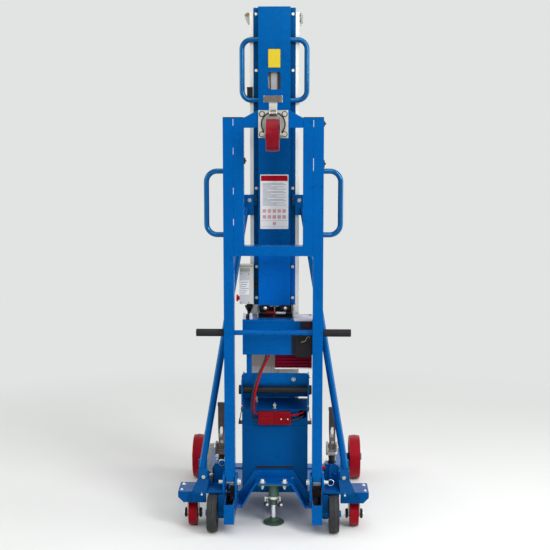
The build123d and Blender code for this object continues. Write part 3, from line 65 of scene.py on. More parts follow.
photo_pixels = 550
focal_pixels = 1050
sensor_width = 36.0
camera_data = bpy.data.cameras.new("camera")
camera_data.sensor_width = sensor_width
camera_data.lens = focal_pixels / photo_pixels * sensor_width
camera = add_object("camera", camera_data)
camera.location = (0.094, -4.371, 1.57)
camera.rotation_euler = (radians(82.5), 0, radians(1.23))
scene.camera = camera
scene.view_settings.view_transform = "Standard"


def linear(code):
    """A linear colour from six hexadecimal digits of sRGB."""
    values = [int(code[i:i + 2], 16) / 255 for i in (0, 2, 4)]
    return tuple(v / 12.92 if v <= 0.04045 else ((v + 0.055) / 1.055) ** 2.4 for v in values) + (1.0,)


def area_light(name, place, aim, size, power):
    """A soft lamp at a place, turned towards a height on the centre line."""
    data = bpy.data.lights.new(name, "AREA")
    data.shape = "RECTANGLE"
    data.size, data.size_y = size
    data.energy = power
    lamp = add_object(name, data)
    lamp.location = place
    lamp.rotation_euler = (Z * aim - Vector(place)).to_track_quat("-Z", "Y").to_euler()


area_light("key_lamp", (2.8, -3.2, 3.2), 0.9, (1.4, 2.6), 132)
area_light("fill_lamp", (-3.0, -3.0, 2.4), 0.9, (1.6, 2.4), 20)
area_light("front_lamp", (0.4, -4.4, 3.2), 0.7, (1.0, 1.0), 24)
area_light("right_panel", (3.2, -0.3, 1.5), 1.1, (1.4, 3.0), 46)
area_light("left_panel", (-3.2, -0.3, 1.5), 1.1, (1.4, 3.0), 34)
area_light("top_lamp", (0.4, -1.0, 4.4), 0.6, (3.0, 3.0), 44)
area_light("back_lamp", (0.6, 3.6, 2.8), 1.2, (2.4, 1.6), 10)

world = bpy.data.worlds.new("studio")
world.use_nodes = True
scene.world = world


# Shader nodes

def node_of(tree, kind, **sockets):
    """A shader node with its input sockets set by name."""
    node = tree.nodes.new("ShaderNode" + kind)
    for socket, value in sockets.items():
        node.inputs[socket].default_value = value
    return node


def noise(tree, coordinates, scale, detail, stretch):
    """A noise texture, stretched along its axes where that is asked."""
    texture = node_of(tree, "TexNoise", Scale=scale, Detail=detail)
    if stretch is None:
        tree.links.new(coordinates, texture.inputs["Vector"])
    else:
        mapping = node_of(tree, "Mapping", Scale=stretch)
        tree.links.new(coordinates, mapping.inputs["Vector"])
        tree.links.new(mapping.outputs["Vector"], texture.inputs["Vector"])
    return texture.outputs["Fac"]


def ramp(tree, factor, low, high, start=0.0, end=1.0):
    """A factor mapped from low..high to start..end."""
    node = node_of(tree, "MapRange")
    for index, value in enumerate((low, high, start, end), 1):
        node.inputs[index].default_value = value
    tree.links.new(factor, node.inputs[0])
    return node.outputs[0]


def mix_colour(tree, factor, first, second):
    """Two colours, or sockets of colours, mixed by a factor socket."""
    node = node_of(tree, "Mix")
    node.data_type = "RGBA"
    tree.links.new(factor, node.inputs[0])
    for socket, value in ((node.inputs[6], first), (node.inputs[7], second)):
        if isinstance(value, bpy.types.NodeSocket):
            tree.links.new(value, socket)
        else:
            socket.default_value = value
    return node.outputs[2]


def show_pale(tree, kind, share=None):
    """The tree's surface gives way to a pale background, for the rays that show it and by a share socket."""
    path = node_of(tree, "LightPath")
    factor = path.outputs["Is Camera Ray"]
    rays = [("MAXIMUM", path.outputs["Is Glossy Ray"]), ("MAXIMUM", path.outputs["Is Transmission Ray"])]
    for operation, socket in rays + ([("MULTIPLY", share)] if share else []):
        node = node_of(tree, "Math")
        node.operation = operation
        tree.links.new(factor, node.inputs[0])
        tree.links.new(socket, node.inputs[1])
        factor = node.outputs[0]
    pale = node_of(tree, kind, Color=linear(PALE), Strength=1.0)
    both = node_of(tree, "MixShader")
    surface = next(node for node in tree.nodes if node.type.startswith("OUTPUT")).inputs["Surface"]
    tree.links.new(factor, both.inputs[0])
    tree.links.new(surface.links[0].from_socket, both.inputs[1])
    tree.links.new(pale.outputs[0], both.inputs[2])
    tree.links.new(both.outputs[0], surface)


light = world.node_tree.nodes["Background"]
light.inputs["Color"].default_value = linear("F4F4F2")
light.inputs["Strength"].default_value = 0.38
show_pale(world.node_tree, "Background")


def shade(colour, factor):
    """A linear colour made darker or lighter."""
    return tuple(min(1.0, c * factor) for c in colour[:3]) + (1.0,)


# Finishes

NOISE_SPAN = (0.3, 0.7)
PAINTED_SHADE_SPAN = (0.25, 0.85)
SPECK_SPAN = (0.62, 0.78)
SPECK_SCALE = 38.0
GLOSS_SPREAD = 0.18
GRAIN_DEPTH = 0.0006


def finish(name, code, roughness, metallic=0.0, vary=0.08, patch=7, grain=260, bump=0.12, stretch=None,
           dirt_and_shade=None, specular=0.5, tint=(1.0, 1.0, 1.0), ior=1.5, reach=0.02, painted_shade_share=None):
    """A procedural surface: patchy colour, uneven gloss, fine grain, and dirt with painted shade as (colour,
    share): the colour is painted as shade into the hollows that ambient occlusion finds within reach, by its
    own share where one is given, and as dirt specks at random.
    """
    made = bpy.data.materials.new(name)
    made.use_nodes = True
    tree = made.node_tree
    shader = tree.nodes["Principled BSDF"]
    for socket, value in (("Metallic", metallic), ("IOR", ior), ("Specular IOR Level", specular),
                          ("Specular Tint", (*tint, 1.0))):
        shader.inputs[socket].default_value = value
    place = node_of(tree, "TexCoord").outputs["Object"]
    base = linear(code)
    patches = noise(tree, place, patch, 5.0, stretch)
    patches = ramp(tree, patches, *NOISE_SPAN)
    colour = mix_colour(tree, patches, shade(base, 1 - vary), shade(base, 1 + vary))
    if dirt_and_shade:
        dirt_and_shade_colour, dirt_and_shade_share = linear(dirt_and_shade[0]), dirt_and_shade[1]
        # Painted shade: the hollows that ambient occlusion finds are mixed towards the given colour; the specks
        # below are dirt.
        shade_occlusion = node_of(tree, "AmbientOcclusion", Distance=reach)
        painted_shade = ramp(tree, shade_occlusion.outputs["AO"], *PAINTED_SHADE_SPAN, painted_shade_share or dirt_and_shade_share, 0.0)
        colour = mix_colour(tree, painted_shade, colour, dirt_and_shade_colour)
        specks = noise(tree, place, SPECK_SCALE, 6.0, stretch)
        colour = mix_colour(tree, ramp(tree, specks, *SPECK_SPAN, 0.0, dirt_and_shade_share), colour, dirt_and_shade_colour)
    tree.links.new(colour, shader.inputs["Base Color"])
    gloss = noise(tree, place, patch * 5, 3.0, stretch)
    spread = roughness * GLOSS_SPREAD
    gloss = ramp(tree, gloss, *NOISE_SPAN, roughness - spread, min(1.0, roughness + spread))
    tree.links.new(gloss, shader.inputs["Roughness"])
    relief = node_of(tree, "Bump", Strength=bump, Distance=GRAIN_DEPTH)
    tree.links.new(noise(tree, place, grain, 2.0, stretch), relief.inputs["Height"])
    tree.links.new(relief.outputs["Normal"], shader.inputs["Normal"])
    return made


UPRIGHT = (1.0, 1.0, 0.03)
AZURE = (0.06, 0.54, 1.0)
SCARLET = (1.0, 0.16, 0.2)
RED = {"specular": 0.4, "tint": SCARLET}
blue = finish("blue_paint", "00509A", 0.28, tint=AZURE, dirt_and_shade=("001F44", 0.35))
gloss_blue = finish("gloss_blue", "003C78", 0.1, specular=1.0, tint=(0.12, 0.58, 1.0), ior=1.6, bump=0.02,
                    dirt_and_shade=("001F44", 0.35))
stay_blue = finish("stay_blue", "00488C", 0.16, specular=0.8, tint=AZURE, bump=0.02, dirt_and_shade=("001F44", 0.35))
# A lighter copy of the blue paint for the lower cover, painted light against the shade of the frame in front,
# with strong painted shade in its hollows.
lit_cover_blue = finish("lit_cover_blue", "0062C2", 0.3, tint=AZURE, dirt_and_shade=("001F44", 0.35),
                     reach=0.06, painted_shade_share=0.95)
# A dark copy of the blue paint, painted shade, for plates that stand in shadow: stay feet, wheel hangers, skirt
# folds and the left lid latch.
shade_navy = finish("shade_navy_paint", "003672", 0.3, tint=AZURE, dirt_and_shade=("00152E", 0.4))
# A darker copy of the blue paint for the upper cover, painted shade, with strong painted shade in its hollows
# on the flanges beside the raised panel.
shaded_cover_blue = finish("shaded_cover_paint", "004C90", 0.26, specular=0.45, tint=AZURE, bump=0.05, dirt_and_shade=("001B3C", 0.3),
                    reach=0.06, painted_shade_share=0.95)
# A darker copy of the blue paint, painted shade, for the battery box, its lid and the outriggers.
shaded_blue = finish("shaded_blue_paint", "004484", 0.38, specular=0.4, tint=AZURE, dirt_and_shade=("001634", 0.4))
aluminium = finish("aluminium", "ECE9E1", 0.42, 0.35, vary=0.1, patch=22, stretch=UPRIGHT,
                   dirt_and_shade=("6E6E6A", 0.3))
zinc = finish("zinc", "C4C3BC", 0.38, 1.0, vary=0.14, patch=30, dirt_and_shade=("6A6250", 0.4))
dull_zinc = finish("dull_zinc", "9C9A94", 0.4, 0.9, vary=0.16, patch=34, dirt_and_shade=("403B34", 0.5))
dark_steel = finish("dark_steel", "3B3A3C", 0.45, 0.9, vary=0.2, patch=26, dirt_and_shade=("1A1512", 0.4))
red_tyre = finish("red_tyre", "8C0C1A", 0.42, **RED, dirt_and_shade=("3A0A0C", 0.4))
worn_red = finish("worn_red_tyre", "740E1C", 0.34, specular=0.45, tint=SCARLET, vary=0.2, patch=30,
                  dirt_and_shade=("30090E", 0.5))
black_tyre = finish("black_tyre", "232427", 0.7, vary=0.2, dirt_and_shade=("5A5650", 0.35))
rubber = finish("black_rubber", "1B181D", 0.62, specular=0.25, vary=0.18, grain=420, bump=0.3)
black_plastic = finish("black_plastic", "101116", 0.45, specular=0.25, vary=0.15, grain=520, bump=0.25)
red_plastic = finish("red_plastic", "B80E16", 0.36, **RED)
dark_red = finish("dark_red", "6A0C14", 0.42, **RED, dirt_and_shade=("240406", 0.3))
red_metal = finish("red_metal", "760A2A", 0.4, 0.3, tint=SCARLET, dirt_and_shade=("1C0410", 0.4))
grey_plastic = finish("grey_plastic", "DAD9D0", 0.5, vary=0.04, grain=480, bump=0.2, dirt_and_shade=("7A776E", 0.25))
green = finish("green_paint", "415F50", 0.5, dirt_and_shade=("1B2620", 0.45))
# A dark red for the switch knob, painted shade: the knob sits in the shadow on the right of the winch.
shaded_knob_red = finish("shaded_knob_red", "3C0A10", 0.45, specular=0.3)
connector_red = finish("connector_red", "7E0A16", 0.42, **RED, dirt_and_shade=("3A0408", 0.4))
lead_red = finish("lead_red", "A01018", 0.45, **RED)
lead_black = finish("lead_black", "17171A", 0.5)


# Cords, in metres: smooth curves with the route's points as their control points

lead_diameter = 0.008
leads = {
    "red_winch_lead": (lead_red, "winch_lead_red", 0.2945, (
        (-0.02, -0.203, 0.698), (-0.022, -0.203, 0.684), (-0.037, -0.216, 0.657), (-0.0525, -0.2348, 0.626),
        (-0.0655, -0.255, 0.586), (-0.0745, -0.264, 0.552), (-0.0785, -0.263, 0.519), (-0.08, -0.2535, 0.487),
        (-0.0795, -0.238, 0.4666), (-0.0735, -0.2205, 0.4565), (-0.063, -0.219, 0.453))),
    "black_winch_lead": (lead_black, "winch_lead_black", 0.3245, (
        (-0.031, -0.197, 0.698), (-0.032, -0.198, 0.681), (-0.047, -0.213, 0.651), (-0.063, -0.2343, 0.618),
        (-0.0766, -0.2552, 0.579), (-0.0852, -0.2645, 0.544), (-0.089, -0.2625, 0.51),
        (-0.0894, -0.2525, 0.474), (-0.0874, -0.2362, 0.4454), (-0.0781, -0.22, 0.431),
        (-0.063, -0.219, 0.428))),
    "red_battery_lead": (lead_red, "battery_leads", 0.0643, (
        (0.069, -0.219, 0.449), (0.085, -0.219, 0.449), (0.101, -0.216, 0.454), (0.114, -0.207, 0.457),
        (0.124, -0.194, 0.458))),
    "black_battery_lead": (lead_black, "battery_leads", 0.0652, (
        (0.069, -0.219, 0.429), (0.085, -0.219, 0.429), (0.101, -0.216, 0.436), (0.114, -0.207, 0.441),
        (0.124, -0.194, 0.443))),
}
for name, (lead_material, node, length, route) in leads.items():
    curve = bpy.data.curves.new(name, "CURVE")
    curve.dimensions = "3D"
    curve.bevel_depth = lead_diameter / 2
    curve.bevel_resolution = 5
    curve.resolution_u = 12
    curve.use_fill_caps = True
    spline = curve.splines.new("NURBS")
    spline.points.add(len(route) - 1)
    for point, place in zip(spline.points, route):
        point.co = (*place, 1.0)
    spline.order_u = 3
    spline.use_endpoint_u = True
    curve.materials.append(lead_material)
    lead = add_object(name, curve)
    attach(lead, "base")
    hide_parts(node)


# Mesh helpers: each adds a form, in millimetres, to one draft, which piece() turns into a mesh in metres

draft = bmesh.new()


def box_of(node):
    """The two opposite corners of a CAD node, in millimetres."""
    return [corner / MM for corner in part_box(node)]


def middle_of(node):
    """The middle of a CAD node's box, in millimetres."""
    low, high = box_of(node)
    return (low + high) / 2


def frame_of(axis):
    """An axis as a unit vector and two directions square to it."""
    axis = Vector(axis).normalized()
    side = axis.cross(Z if abs(axis.z) < 0.9 else X).normalized()
    return axis, side, axis.cross(side)


def vertex(place):
    """A vertex of the draft."""
    return draft.verts.new(Vector(place) * MM)


def circle(centre, radius, side, other, count):
    """Places round a circle in the plane of two directions."""
    angles = [2 * pi * i / count for i in range(count)]
    return [centre + radius * (cos(a) * side + sin(a) * other) for a in angles]


def skin(rings, capped=True):
    """Faces from each ring of vertices to the next, and over both ends."""
    for first, second in zip(rings, rings[1:]):
        count = max(len(first), len(second))
        for i in range(count):
            j = (i + 1) % count
            ends = [ring[k % len(ring)] for ring, k in ((first, i), (first, j), (second, j), (second, i))]
            corners = list(dict.fromkeys(ends))
            if len(corners) > 2:
                draft.faces.new(corners)
    for end in (rings[0], rings[-1]) if capped else ():
        if len(end) > 2:
            draft.faces.new(end)


def prism(outline, start, end, along="Y", shift=(0, 0)):
    """An outline of points, shifted in its plane and extruded along an axis from start to end."""
    at = "XYZ".index(along)
    points = [(x + shift[0], y + shift[1]) for x, y in outline]
    skin([[vertex((*point[:at], depth, *point[at:])) for point in points] for depth in (start, end)])


def box(low, high):
    """A box between two opposite corners."""
    (left, front, foot), (right, back, top) = low, high
    prism([(left, front), (right, front), (right, back), (left, back)], foot, top, "Z")


def plate(low, high, corner, start, end, along="Y", steps=4):
    """A prism over a rectangle with round corners."""
    (left, right), (foot, top) = (sorted(pair) for pair in zip(low, high))
    left, right, foot, top = left + corner, right - corner, foot + corner, top - corner
    outline = []
    for i, (x, y) in enumerate(((right, top), (left, top), (left, foot), (right, foot))):
        angles = [pi / 2 * (i + k / steps) for k in range(steps + 1)]
        outline += [(x + corner * cos(a), y + corner * sin(a)) for a in angles]
    prism(outline, start, end, along)


def lathe(profile, origin, axis, steps, capped=True):
    """A profile of (radius, height) points turned about an axis."""
    axis, side, other = frame_of(axis)
    origin = Vector(origin)
    rings = []
    for radius, height in profile:
        centre = origin + axis * height
        places = circle(centre, radius, side, other, steps) if radius else [centre]
        rings.append([vertex(place) for place in places])
    skin(rings, capped)


def ring(profile, place, axis, steps):
    """A closed profile of (radius, height) points turned about an axis."""
    lathe(profile + profile[:1], place, axis, steps, capped=False)


def collar(inner, outer, low, high, place, axis, steps):
    """A ring of rectangular section."""
    ring([(inner, low), (outer, low), (outer, high), (inner, high)], place, axis, steps)


def roller(radius, edge, length, place, axis, steps):
    """A cylinder with its two edges taken off, by an amount in radius and by 1 mm in length."""
    face = radius - edge
    profile = [(0, 0), (face, 0), (radius, 1), (radius, length - 1), (face, length), (0, length)]
    lathe(profile, place, axis, steps)


def tube(points, radius, steps, closed=False):
    """A round bar along a row of points."""
    points = [Vector(p) for p in points]
    ahead, behind = points[1:] + points[:1], points[-1:] + points[:-1]
    if not closed:
        ahead[-1], behind[0] = points[-1], points[0]
    tangents = [(after - before).normalized() for after, before in zip(ahead, behind)]
    side = frame_of(tangents[0])[1]
    rings = []
    for point, tangent, before in zip(points, tangents, tangents[:1] + tangents):
        side = before.rotation_difference(tangent) @ side
        rings.append([vertex(p) for p in circle(point, radius, side, tangent.cross(side), steps)])
    skin(rings + rings[:1] if closed else rings, not closed)


def wire_ring(centre, axis, radius, count, wire_radius, steps):
    """A closed ring of round wire about an axis."""
    tube(circle(Vector(centre), radius, *frame_of(axis)[1:], count), wire_radius, steps, closed=True)


def bolt(place, axis, across, height, washer=True):
    """A hexagon head with a domed edge, on its washer, standing on a face."""
    base = across * 0.16 if washer else 0
    if washer:
        rim = across * 1.02
        lathe([(0, 0), (rim, 0), (rim, base * 0.8), (rim - base * 0.3, base), (0, base)], place, axis, 28)
    radius, top = across / sqrt(3), base + height
    head = [(0, base), (radius, base), (radius, base + height * 0.82), (radius * 0.86, top), (0, top)]
    lathe(head, place, axis, 6)


def screw(place, axis, radius, height):
    """A round screw head with a socket."""
    socket, depth = radius * 0.5, height * 0.45
    lathe([(0, 0), (radius, 0), (radius, height * 0.7), (radius * 0.85, height), (socket, height),
           (socket * 0.9, depth), (0, depth)], place, axis, 24)


def piece(name, material, bevel=0, body="base", replaced=None, smooth=35.0):
    """Turns the draft into a mesh with rounded edges and smooth faces, which rides on a body."""
    bmesh.ops.remove_doubles(draft, verts=draft.verts, dist=1e-6)
    bmesh.ops.recalc_face_normals(draft, faces=draft.faces)
    mesh = bpy.data.meshes.new(name)
    draft.to_mesh(mesh)
    draft.clear()
    mesh.materials.append(material)
    mesh.shade_smooth()
    mesh.set_sharp_from_angle(angle=radians(smooth))
    made = add_object(name, mesh)
    if bevel:
        rounding = made.modifiers.new("rounding", "BEVEL")
        rounding.width = bevel * MM
        rounding.segments = 3
        rounding.limit_method = "ANGLE"
        rounding.angle_limit = radians(smooth)
        rounding.use_clamp_overlap = True
        rounding.harden_normals = True
    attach(made, body)
    if replaced:
        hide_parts(replaced)


def front_plate(name, low, high, face, thickness, material, corner=2):
    """A piece that is a flat plate with round corners, on a face that looks to the front."""
    plate(low, high, corner, face - thickness, face)
    piece(name, material, bevel=thickness * 0.3)


body_of = {node: body for body, nodes in frame["record"]["behaviour"]["bodies"].items() for node in nodes}


def rounded(node, material, bevel):
    """A copy of a CAD node with rounded edges, standing for it."""
    draft.from_mesh(frame["nodes"][node].data)
    bmesh.ops.remove_doubles(draft, verts=draft.verts, dist=1e-5)
    bmesh.ops.dissolve_limit(draft, angle_limit=radians(1.0), verts=draft.verts, edges=draft.edges)
    piece(node + "_finished", material, bevel, body_of[node], node, 30.0)


# CAD nodes with rounded edges, and three that only change their material

for node, material, bevel in (
    ("side_beams", blue, 3), ("base_deck", blue, 1), ("rear_axle_beam", blue, 3),
    ("outriggers", shaded_blue, 1.5), ("hinge_brackets", blue, 1.5), ("bridge_beam", blue, 1.5),
    ("floor_lock_body", green, 1),
    ("mast_outer", aluminium, 0.8), ("mast_inner", aluminium, 0.8), ("mast_cover_upper", shaded_cover_blue, 3),
    ("mast_cover_lower", lit_cover_blue, 3), ("stays", stay_blue, 1), ("stay_ears", blue, 1),
    ("battery_box", shaded_blue, 3), ("battery_lid", shaded_blue, 3), ("battery", black_plastic, 2),
    ("battery_connector", connector_red, 2), ("winch_housing", blue, 3), ("winch_motor", dark_steel, 1),
    ("lift_carriage", dark_steel, 2), ("winch_drum", dark_steel, 1), ("charger", red_metal, 1),
    ("switch_box", black_plastic, 1.5), ("main_switch", shaded_knob_red, 1), ("control_box", grey_plastic, 3),
    ("stop_button", red_plastic, 2), ("roller_bracket", blue, 1), ("frame_legs", blue, 3),
    ("frame_inner_tubes", blue, 3), ("tube_plugs", black_plastic, 1), ("frame_crossbar", blue, 3),
    ("frame_head", blue, 1.5), ("push_bar", blue, 1), ("frame_caster_plate", zinc, 1.5),
    ("frame_caster_fork", dull_zinc, 1.5), ("frame_caster_brake", zinc, 1), ("caster_fork_left", zinc, 1.2),
    ("caster_fork_right", zinc, 1.2), ("hex_bolts", zinc, 0.6), ("loading_roller", black_plastic, 1),
    ("push_grips", rubber, 2),
):
    rounded(node, material, bevel)
for node, material in (("mast_handles", gloss_blue), ("frame_handles", gloss_blue), ("lift_rope", zinc)):
    materials = frame["nodes"][node].data.materials
    materials.clear()
    materials.append(material)


# Wheels: a tyre and a hub for each

def wheel(node, tyre, hub, bore, hub_radius, rim_radius, crown, grooves=()):
    """A turned tyre with rounded shoulders on a webbed hub, standing for a wheel node."""
    low, high = box_of(node)
    centre = (low + high) / 2
    half, radius = (high.x - low.x) / 2, (high.z - low.z) / 2
    shoulder = radius * 0.055
    tread = [(radius - crown, -half + shoulder)]
    for groove in grooves:
        spot = groove * half
        tread += [(radius - crown * abs(groove), spot - 1.7), (radius - 3.5, spot - 0.9),
                  (radius - 3.5, spot + 0.9), (radius - crown * abs(groove), spot + 1.7)]
    if not grooves:
        tread.append((radius, 0))
    tread.append((radius - crown, half - shoulder))
    wall = [(rim_radius, half - 3), (rim_radius + 4, half - 1.2), (radius - shoulder * 1.6, half),
            (radius - shoulder * 0.5, half - shoulder * 0.35)]
    ring([(r, -h) for r, h in wall] + tread + wall[::-1], centre, X, 64)
    piece(node + "_tyre", tyre, body=body_of[node], replaced=node)
    web = half * 0.35
    face = [(bore, half), (hub_radius - 2, half), (hub_radius, half - 2), (hub_radius + 3, web),
            (rim_radius - 8, web), (rim_radius - 5, half - 3), (rim_radius, half - 3)]
    ring([(r, -h) for r, h in face] + face[::-1], centre, X, 48)
    reach = (rim_radius - hub_radius) / 2 - 3
    for along in circle(Vector(), 1, Y, Z, 6):
        spoke = centre + along * (hub_radius + rim_radius) / 2
        tube([spoke - along * reach, spoke, spoke + along * reach], half * 0.55, 8)
    piece(node + "_hub", hub, body=body_of[node], replaced=node)


for side, word in SIDES:
    wheel(f"front_wheel_{word}", black_tyre, dark_steel, 8.3, 22, 52, 4, (-0.5, 0, 0.5))
    wheel(f"rear_wheel_{word}", red_tyre, black_plastic, 10.3, 30, 72, 3)
    wheel(f"caster_wheel_{word}", red_tyre, black_plastic, 6.3, 17, 30, 2)
wheel("frame_caster_wheel", worn_red, dark_steel, 8.3, 20, 38, 2.5)


# Finishes of the small fittings

rust = finish("rusty_zinc", "8C7B60", 0.6, 0.6, vary=0.3, patch=70, dirt_and_shade=("4A2E18", 0.6))
pale_zinc = finish("pale_zinc", "E4E4DE", 0.34, 0.75, vary=0.1, patch=40, dirt_and_shade=("8A8676", 0.3))
chrome = finish("chrome", "E9EBEC", 0.16, 1.0, vary=0.04, patch=20, bump=0.04)
dark_grey = finish("dark_grey", "2B2A2D", 0.55, vary=0.2, grain=420, dirt_and_shade=("5C5650", 0.3))
brown_rubber = finish("brown_rubber", "685C57", 0.75, vary=0.3, patch=60, grain=500, bump=0.4)
lilac_grey = finish("lilac_grey", "C6C5D0", 0.5, vary=0.06, dirt_and_shade=("7A7782", 0.25))
yellow = finish("yellow_sign", "CDB404", 0.45, vary=0.03)
white = finish("white_sign", "F2F2F0", 0.5, vary=0.02)
sign_red = finish("sign_red", "A80A20", 0.45, vary=0.04, tint=SCARLET)
faint_grey = finish("faint_grey", "858A92", 0.6, vary=0.05)


# Mast head: lashing hooks, sleeve, lifting belt and sign plates

mast_low, mast_high = box_of("mast_outer")
cover_low, cover_high = box_of("mast_cover_upper")
cover_face = cover_low.y
hook_y, hook_z = mast_low.y + 10, mast_high.z - 3
hook = (mast_low.x, hook_z)

arm = [(0, 2), (-12, 1), (-20.5, -6), (-19.5, -12), (0, -7)]
prism(arm, hook_y - 8, hook_y + 8, shift=hook)
piece("lashing_arm", rust, 0.8)
tongue = [(0, -8), (-19, -13), (-16, -25), (-6, -46), (0, -46)]
prism(tongue, hook_y - 5, hook_y + 5, shift=hook)
screw((mast_low.x - 6, hook_y - 5, hook_z - 15), -Y, 3, 2)
piece("lashing_tongue", dull_zinc, 0.6)

eye = Vector((mast_high.x, hook_y, hook_z - 6))
lathe([(0, 0), (6, 0), (6, 1.5), (2.6, 2), (2.6, 5), (0, 5)], eye, X, 20)
wire_ring(eye + X * 7, Y, 5, 20, 1.8, 8)
wire_ring(eye + X * 7 - Z * 10.5, X, 6, 20, 1.7, 8)
snap = eye + X * 6.8 - Z * 29
wire_ring(snap, Y, 6.2, 20, 1.8, 8)
tube([snap + Z * 13, snap + Z * 9.5, snap + Z * 6.2], 2.4, 8)
tube([snap - Z * 6.2, snap - Z * 14 - X * 2, snap - Z * 16 - X * 5.5], 1.7, 8)
for i in range(5):
    edge = 6.6 - 0.4 * i
    ring([(3, -1.8), (edge, -1.8), (edge + 0.6, 0), (edge, 1.8), (3, 1.8)],
         eye + X * 7.2 - Z * (4 + 6.2 * i), (0.25, 0, 1), 20)
piece("lashing_links", dull_zinc)

sleeve_low, sleeve_high = 1725, 1769
sleeve = [(-111, -46), (-111, -79.5), (-88, -79.5), (-88, -75), (-100, -75), (-100, -46)]
prism(sleeve, sleeve_low, sleeve_high, "Z")
for z in (sleeve_low + 4, sleeve_high - 4):
    prism([(x - 1.2 * (x < -105), y - 1.2 * (y < -79)) for x, y in sleeve], z - 2, z + 2, "Z")
piece("mast_sleeve", black_plastic, 0.8)

window_low, window_high = 1757, 1827
belt_y = cover_face + 20
belt_ribs = 24
for i in range(belt_ribs):
    z = window_low - 40 + i * (window_high - window_low + 80) / (belt_ribs - 1)
    box((-14, belt_y - 1.4, z - 3.3), (13, belt_y + 1.4, z + 3))
box((-13.7, belt_y - 1, window_low - 42), (12.7, belt_y + 1, window_high + 42))
piece("lifting_belt", finish("belt_grey", "A9ABAE", 0.55, vary=0.1, patch=60), bevel=0.4)
for z in (window_low - 35, window_high + 35):
    tube([(cover_low.x + 21.5, belt_y + 5.5, z), (cover_high.x - 21.5, belt_y + 5.5, z)], 4.5, 20)
for low, high in ((-17.5, -15), (12.2, 27.5)):
    box((low, belt_y - 4, window_low - 40), (high, belt_y + 6, window_high + 40))
piece("belt_guides", dark_grey, bevel=0.6)

front_plate("yellow_plate_border", (-25.5, 1842), (25.5, 1917), cover_face, 0.8, dark_grey, 3)
front_plate("yellow_plate", (-23.9, 1843.6), (23.9, 1915.4), cover_face - 0.6, 0.6, yellow, 2.5)

page_side, page_foot, page_top = 57, 1199, 1419
page_face = cover_face - 1
ink = page_face - 0.2
front_plate("white_plate", (-page_side, page_foot), (page_side, page_top), cover_face, 1, white, 3)
front_plate("white_plate_band", (3 - page_side, page_top - 26), (page_side - 3, page_top - 4), page_face, 0.3,
            sign_red, 1)
line_start, line_width = 10 - page_side, 2 * page_side - 20
line_shares = (0.9, 1.0, 0.35, 0.95, 0.6, 1.0, 0.2)
for i in range(20):
    z = page_top - 36 - 4.6 * i
    box((line_start, ink, z - 0.8), (line_start + line_width * line_shares[i % 7], page_face, z + 0.8))
for z in (page_foot + 34, page_foot + 9):
    box((4 - page_side, ink, z - 0.4), (page_side - 4, page_face, z + 0.4))
piece("white_plate_lines", faint_grey)
for z in (page_foot + 73, page_foot + 49):
    for x in range(-40, 41, 20):
        plate((x - 7.2, z - 7.2), (x + 7.2, z + 7.2), 3, ink, page_face)
plate((-6.5, page_foot + 16), (6.5, page_foot + 28), 3, ink, page_face)
piece("white_plate_squares", finish("sign_rose", "D9A3A3", 0.5, vary=0.05))


# Frame caster: brake pad, bearing ring dark as painted shade round the crown, and rings under the bolts

pedal_face = box_of("frame_caster_brake")[0].y
pad_foot, pad_top = 1700.5, 1724.5
plate((-35.5, pad_foot), (35.5, pad_top), 6, pedal_face - 3, pedal_face)
for x in range(-28, 29, 7):
    plate((x - 2, pad_foot + 4), (x + 2, pad_top - 4), 1.8, pedal_face - 4.2, pedal_face - 2.5)
piece("brake_pad", brown_rubber, bevel=0.8, body="frame_brake")

plate_face = box_of("frame_caster_plate")[0].y + 5.5
caster_z = middle_of("frame_caster_plate").z
# The bearing ring stands for the raceway, and its dark steel also paints the shade round the crown of the fork.
ring([(42.5, 0), (48, 0), (48, 4), (46.2, 6), (42.5, 6)], (0, plate_face, caster_z), -Y, 48)
for x in (-43.5, 43.5):
    for z in (caster_z - 38.5, caster_z + 38.5):
        ring([(8.3, 0), (11.5, 0), (11.2, 1.4), (8.3, 1.4)], (x, plate_face, z), -Y, 28)
piece("caster_bearing_and_shadow_ring", dark_steel, bevel=0.4, body="frame")


# Front frame: weld beads pale as painted highlights, and clips on the legs

seam_x, leg_face = 155, -301
# Weld beads along the seams, pale lilac grey as painted highlights where the seams catch the light.
for x, heights in ((-seam_x, (1625, 1515, 1361, 1241)), (seam_x, (1620, 1475, 1452))):
    for z in heights:
        for i in range(-3, 4):
            lathe([(0, -3), (1.2, -2), (1.6, 0), (1.2, 2), (0, 3)], (x, leg_face + 0.8, z + 3.6 * i), Z, 12)
piece("seam_welds_and_highlights", lilac_grey, body="frame")
leg_side = box_of("frame_legs")[1].x
for z, half in ((1620, 11), (1466, 15)):
    plate((-288, z - half), (-262, z + half), 4, leg_side - 0.5, leg_side + 3.5, "X")
    bolt((leg_side + 3.5, -275, z), X, 7, 4)
piece("leg_clips", dark_steel, bevel=0.6, body="frame")
plate((-290, 1466), (-276, 1490), 3, -115.5, -108.5, "X")
bolt((-108.5, -283, 1478), X, 6, 3)
piece("tube_clip", dark_steel, bevel=0.6, body="frame")


# Stay ears: rusty screws beside the silver bolts

for x in (-75.5, 75.5):
    bolt((x, box_of("stay_ears")[0].y, 1317), -Y, 6.5, 4.5)
piece("ear_screws", finish("dark_rust", "54483C", 0.65, 0.4, vary=0.3, patch=70))


# Control box: front panel, plate, latch, screws and gland; cable posts and boot; clip on the cover

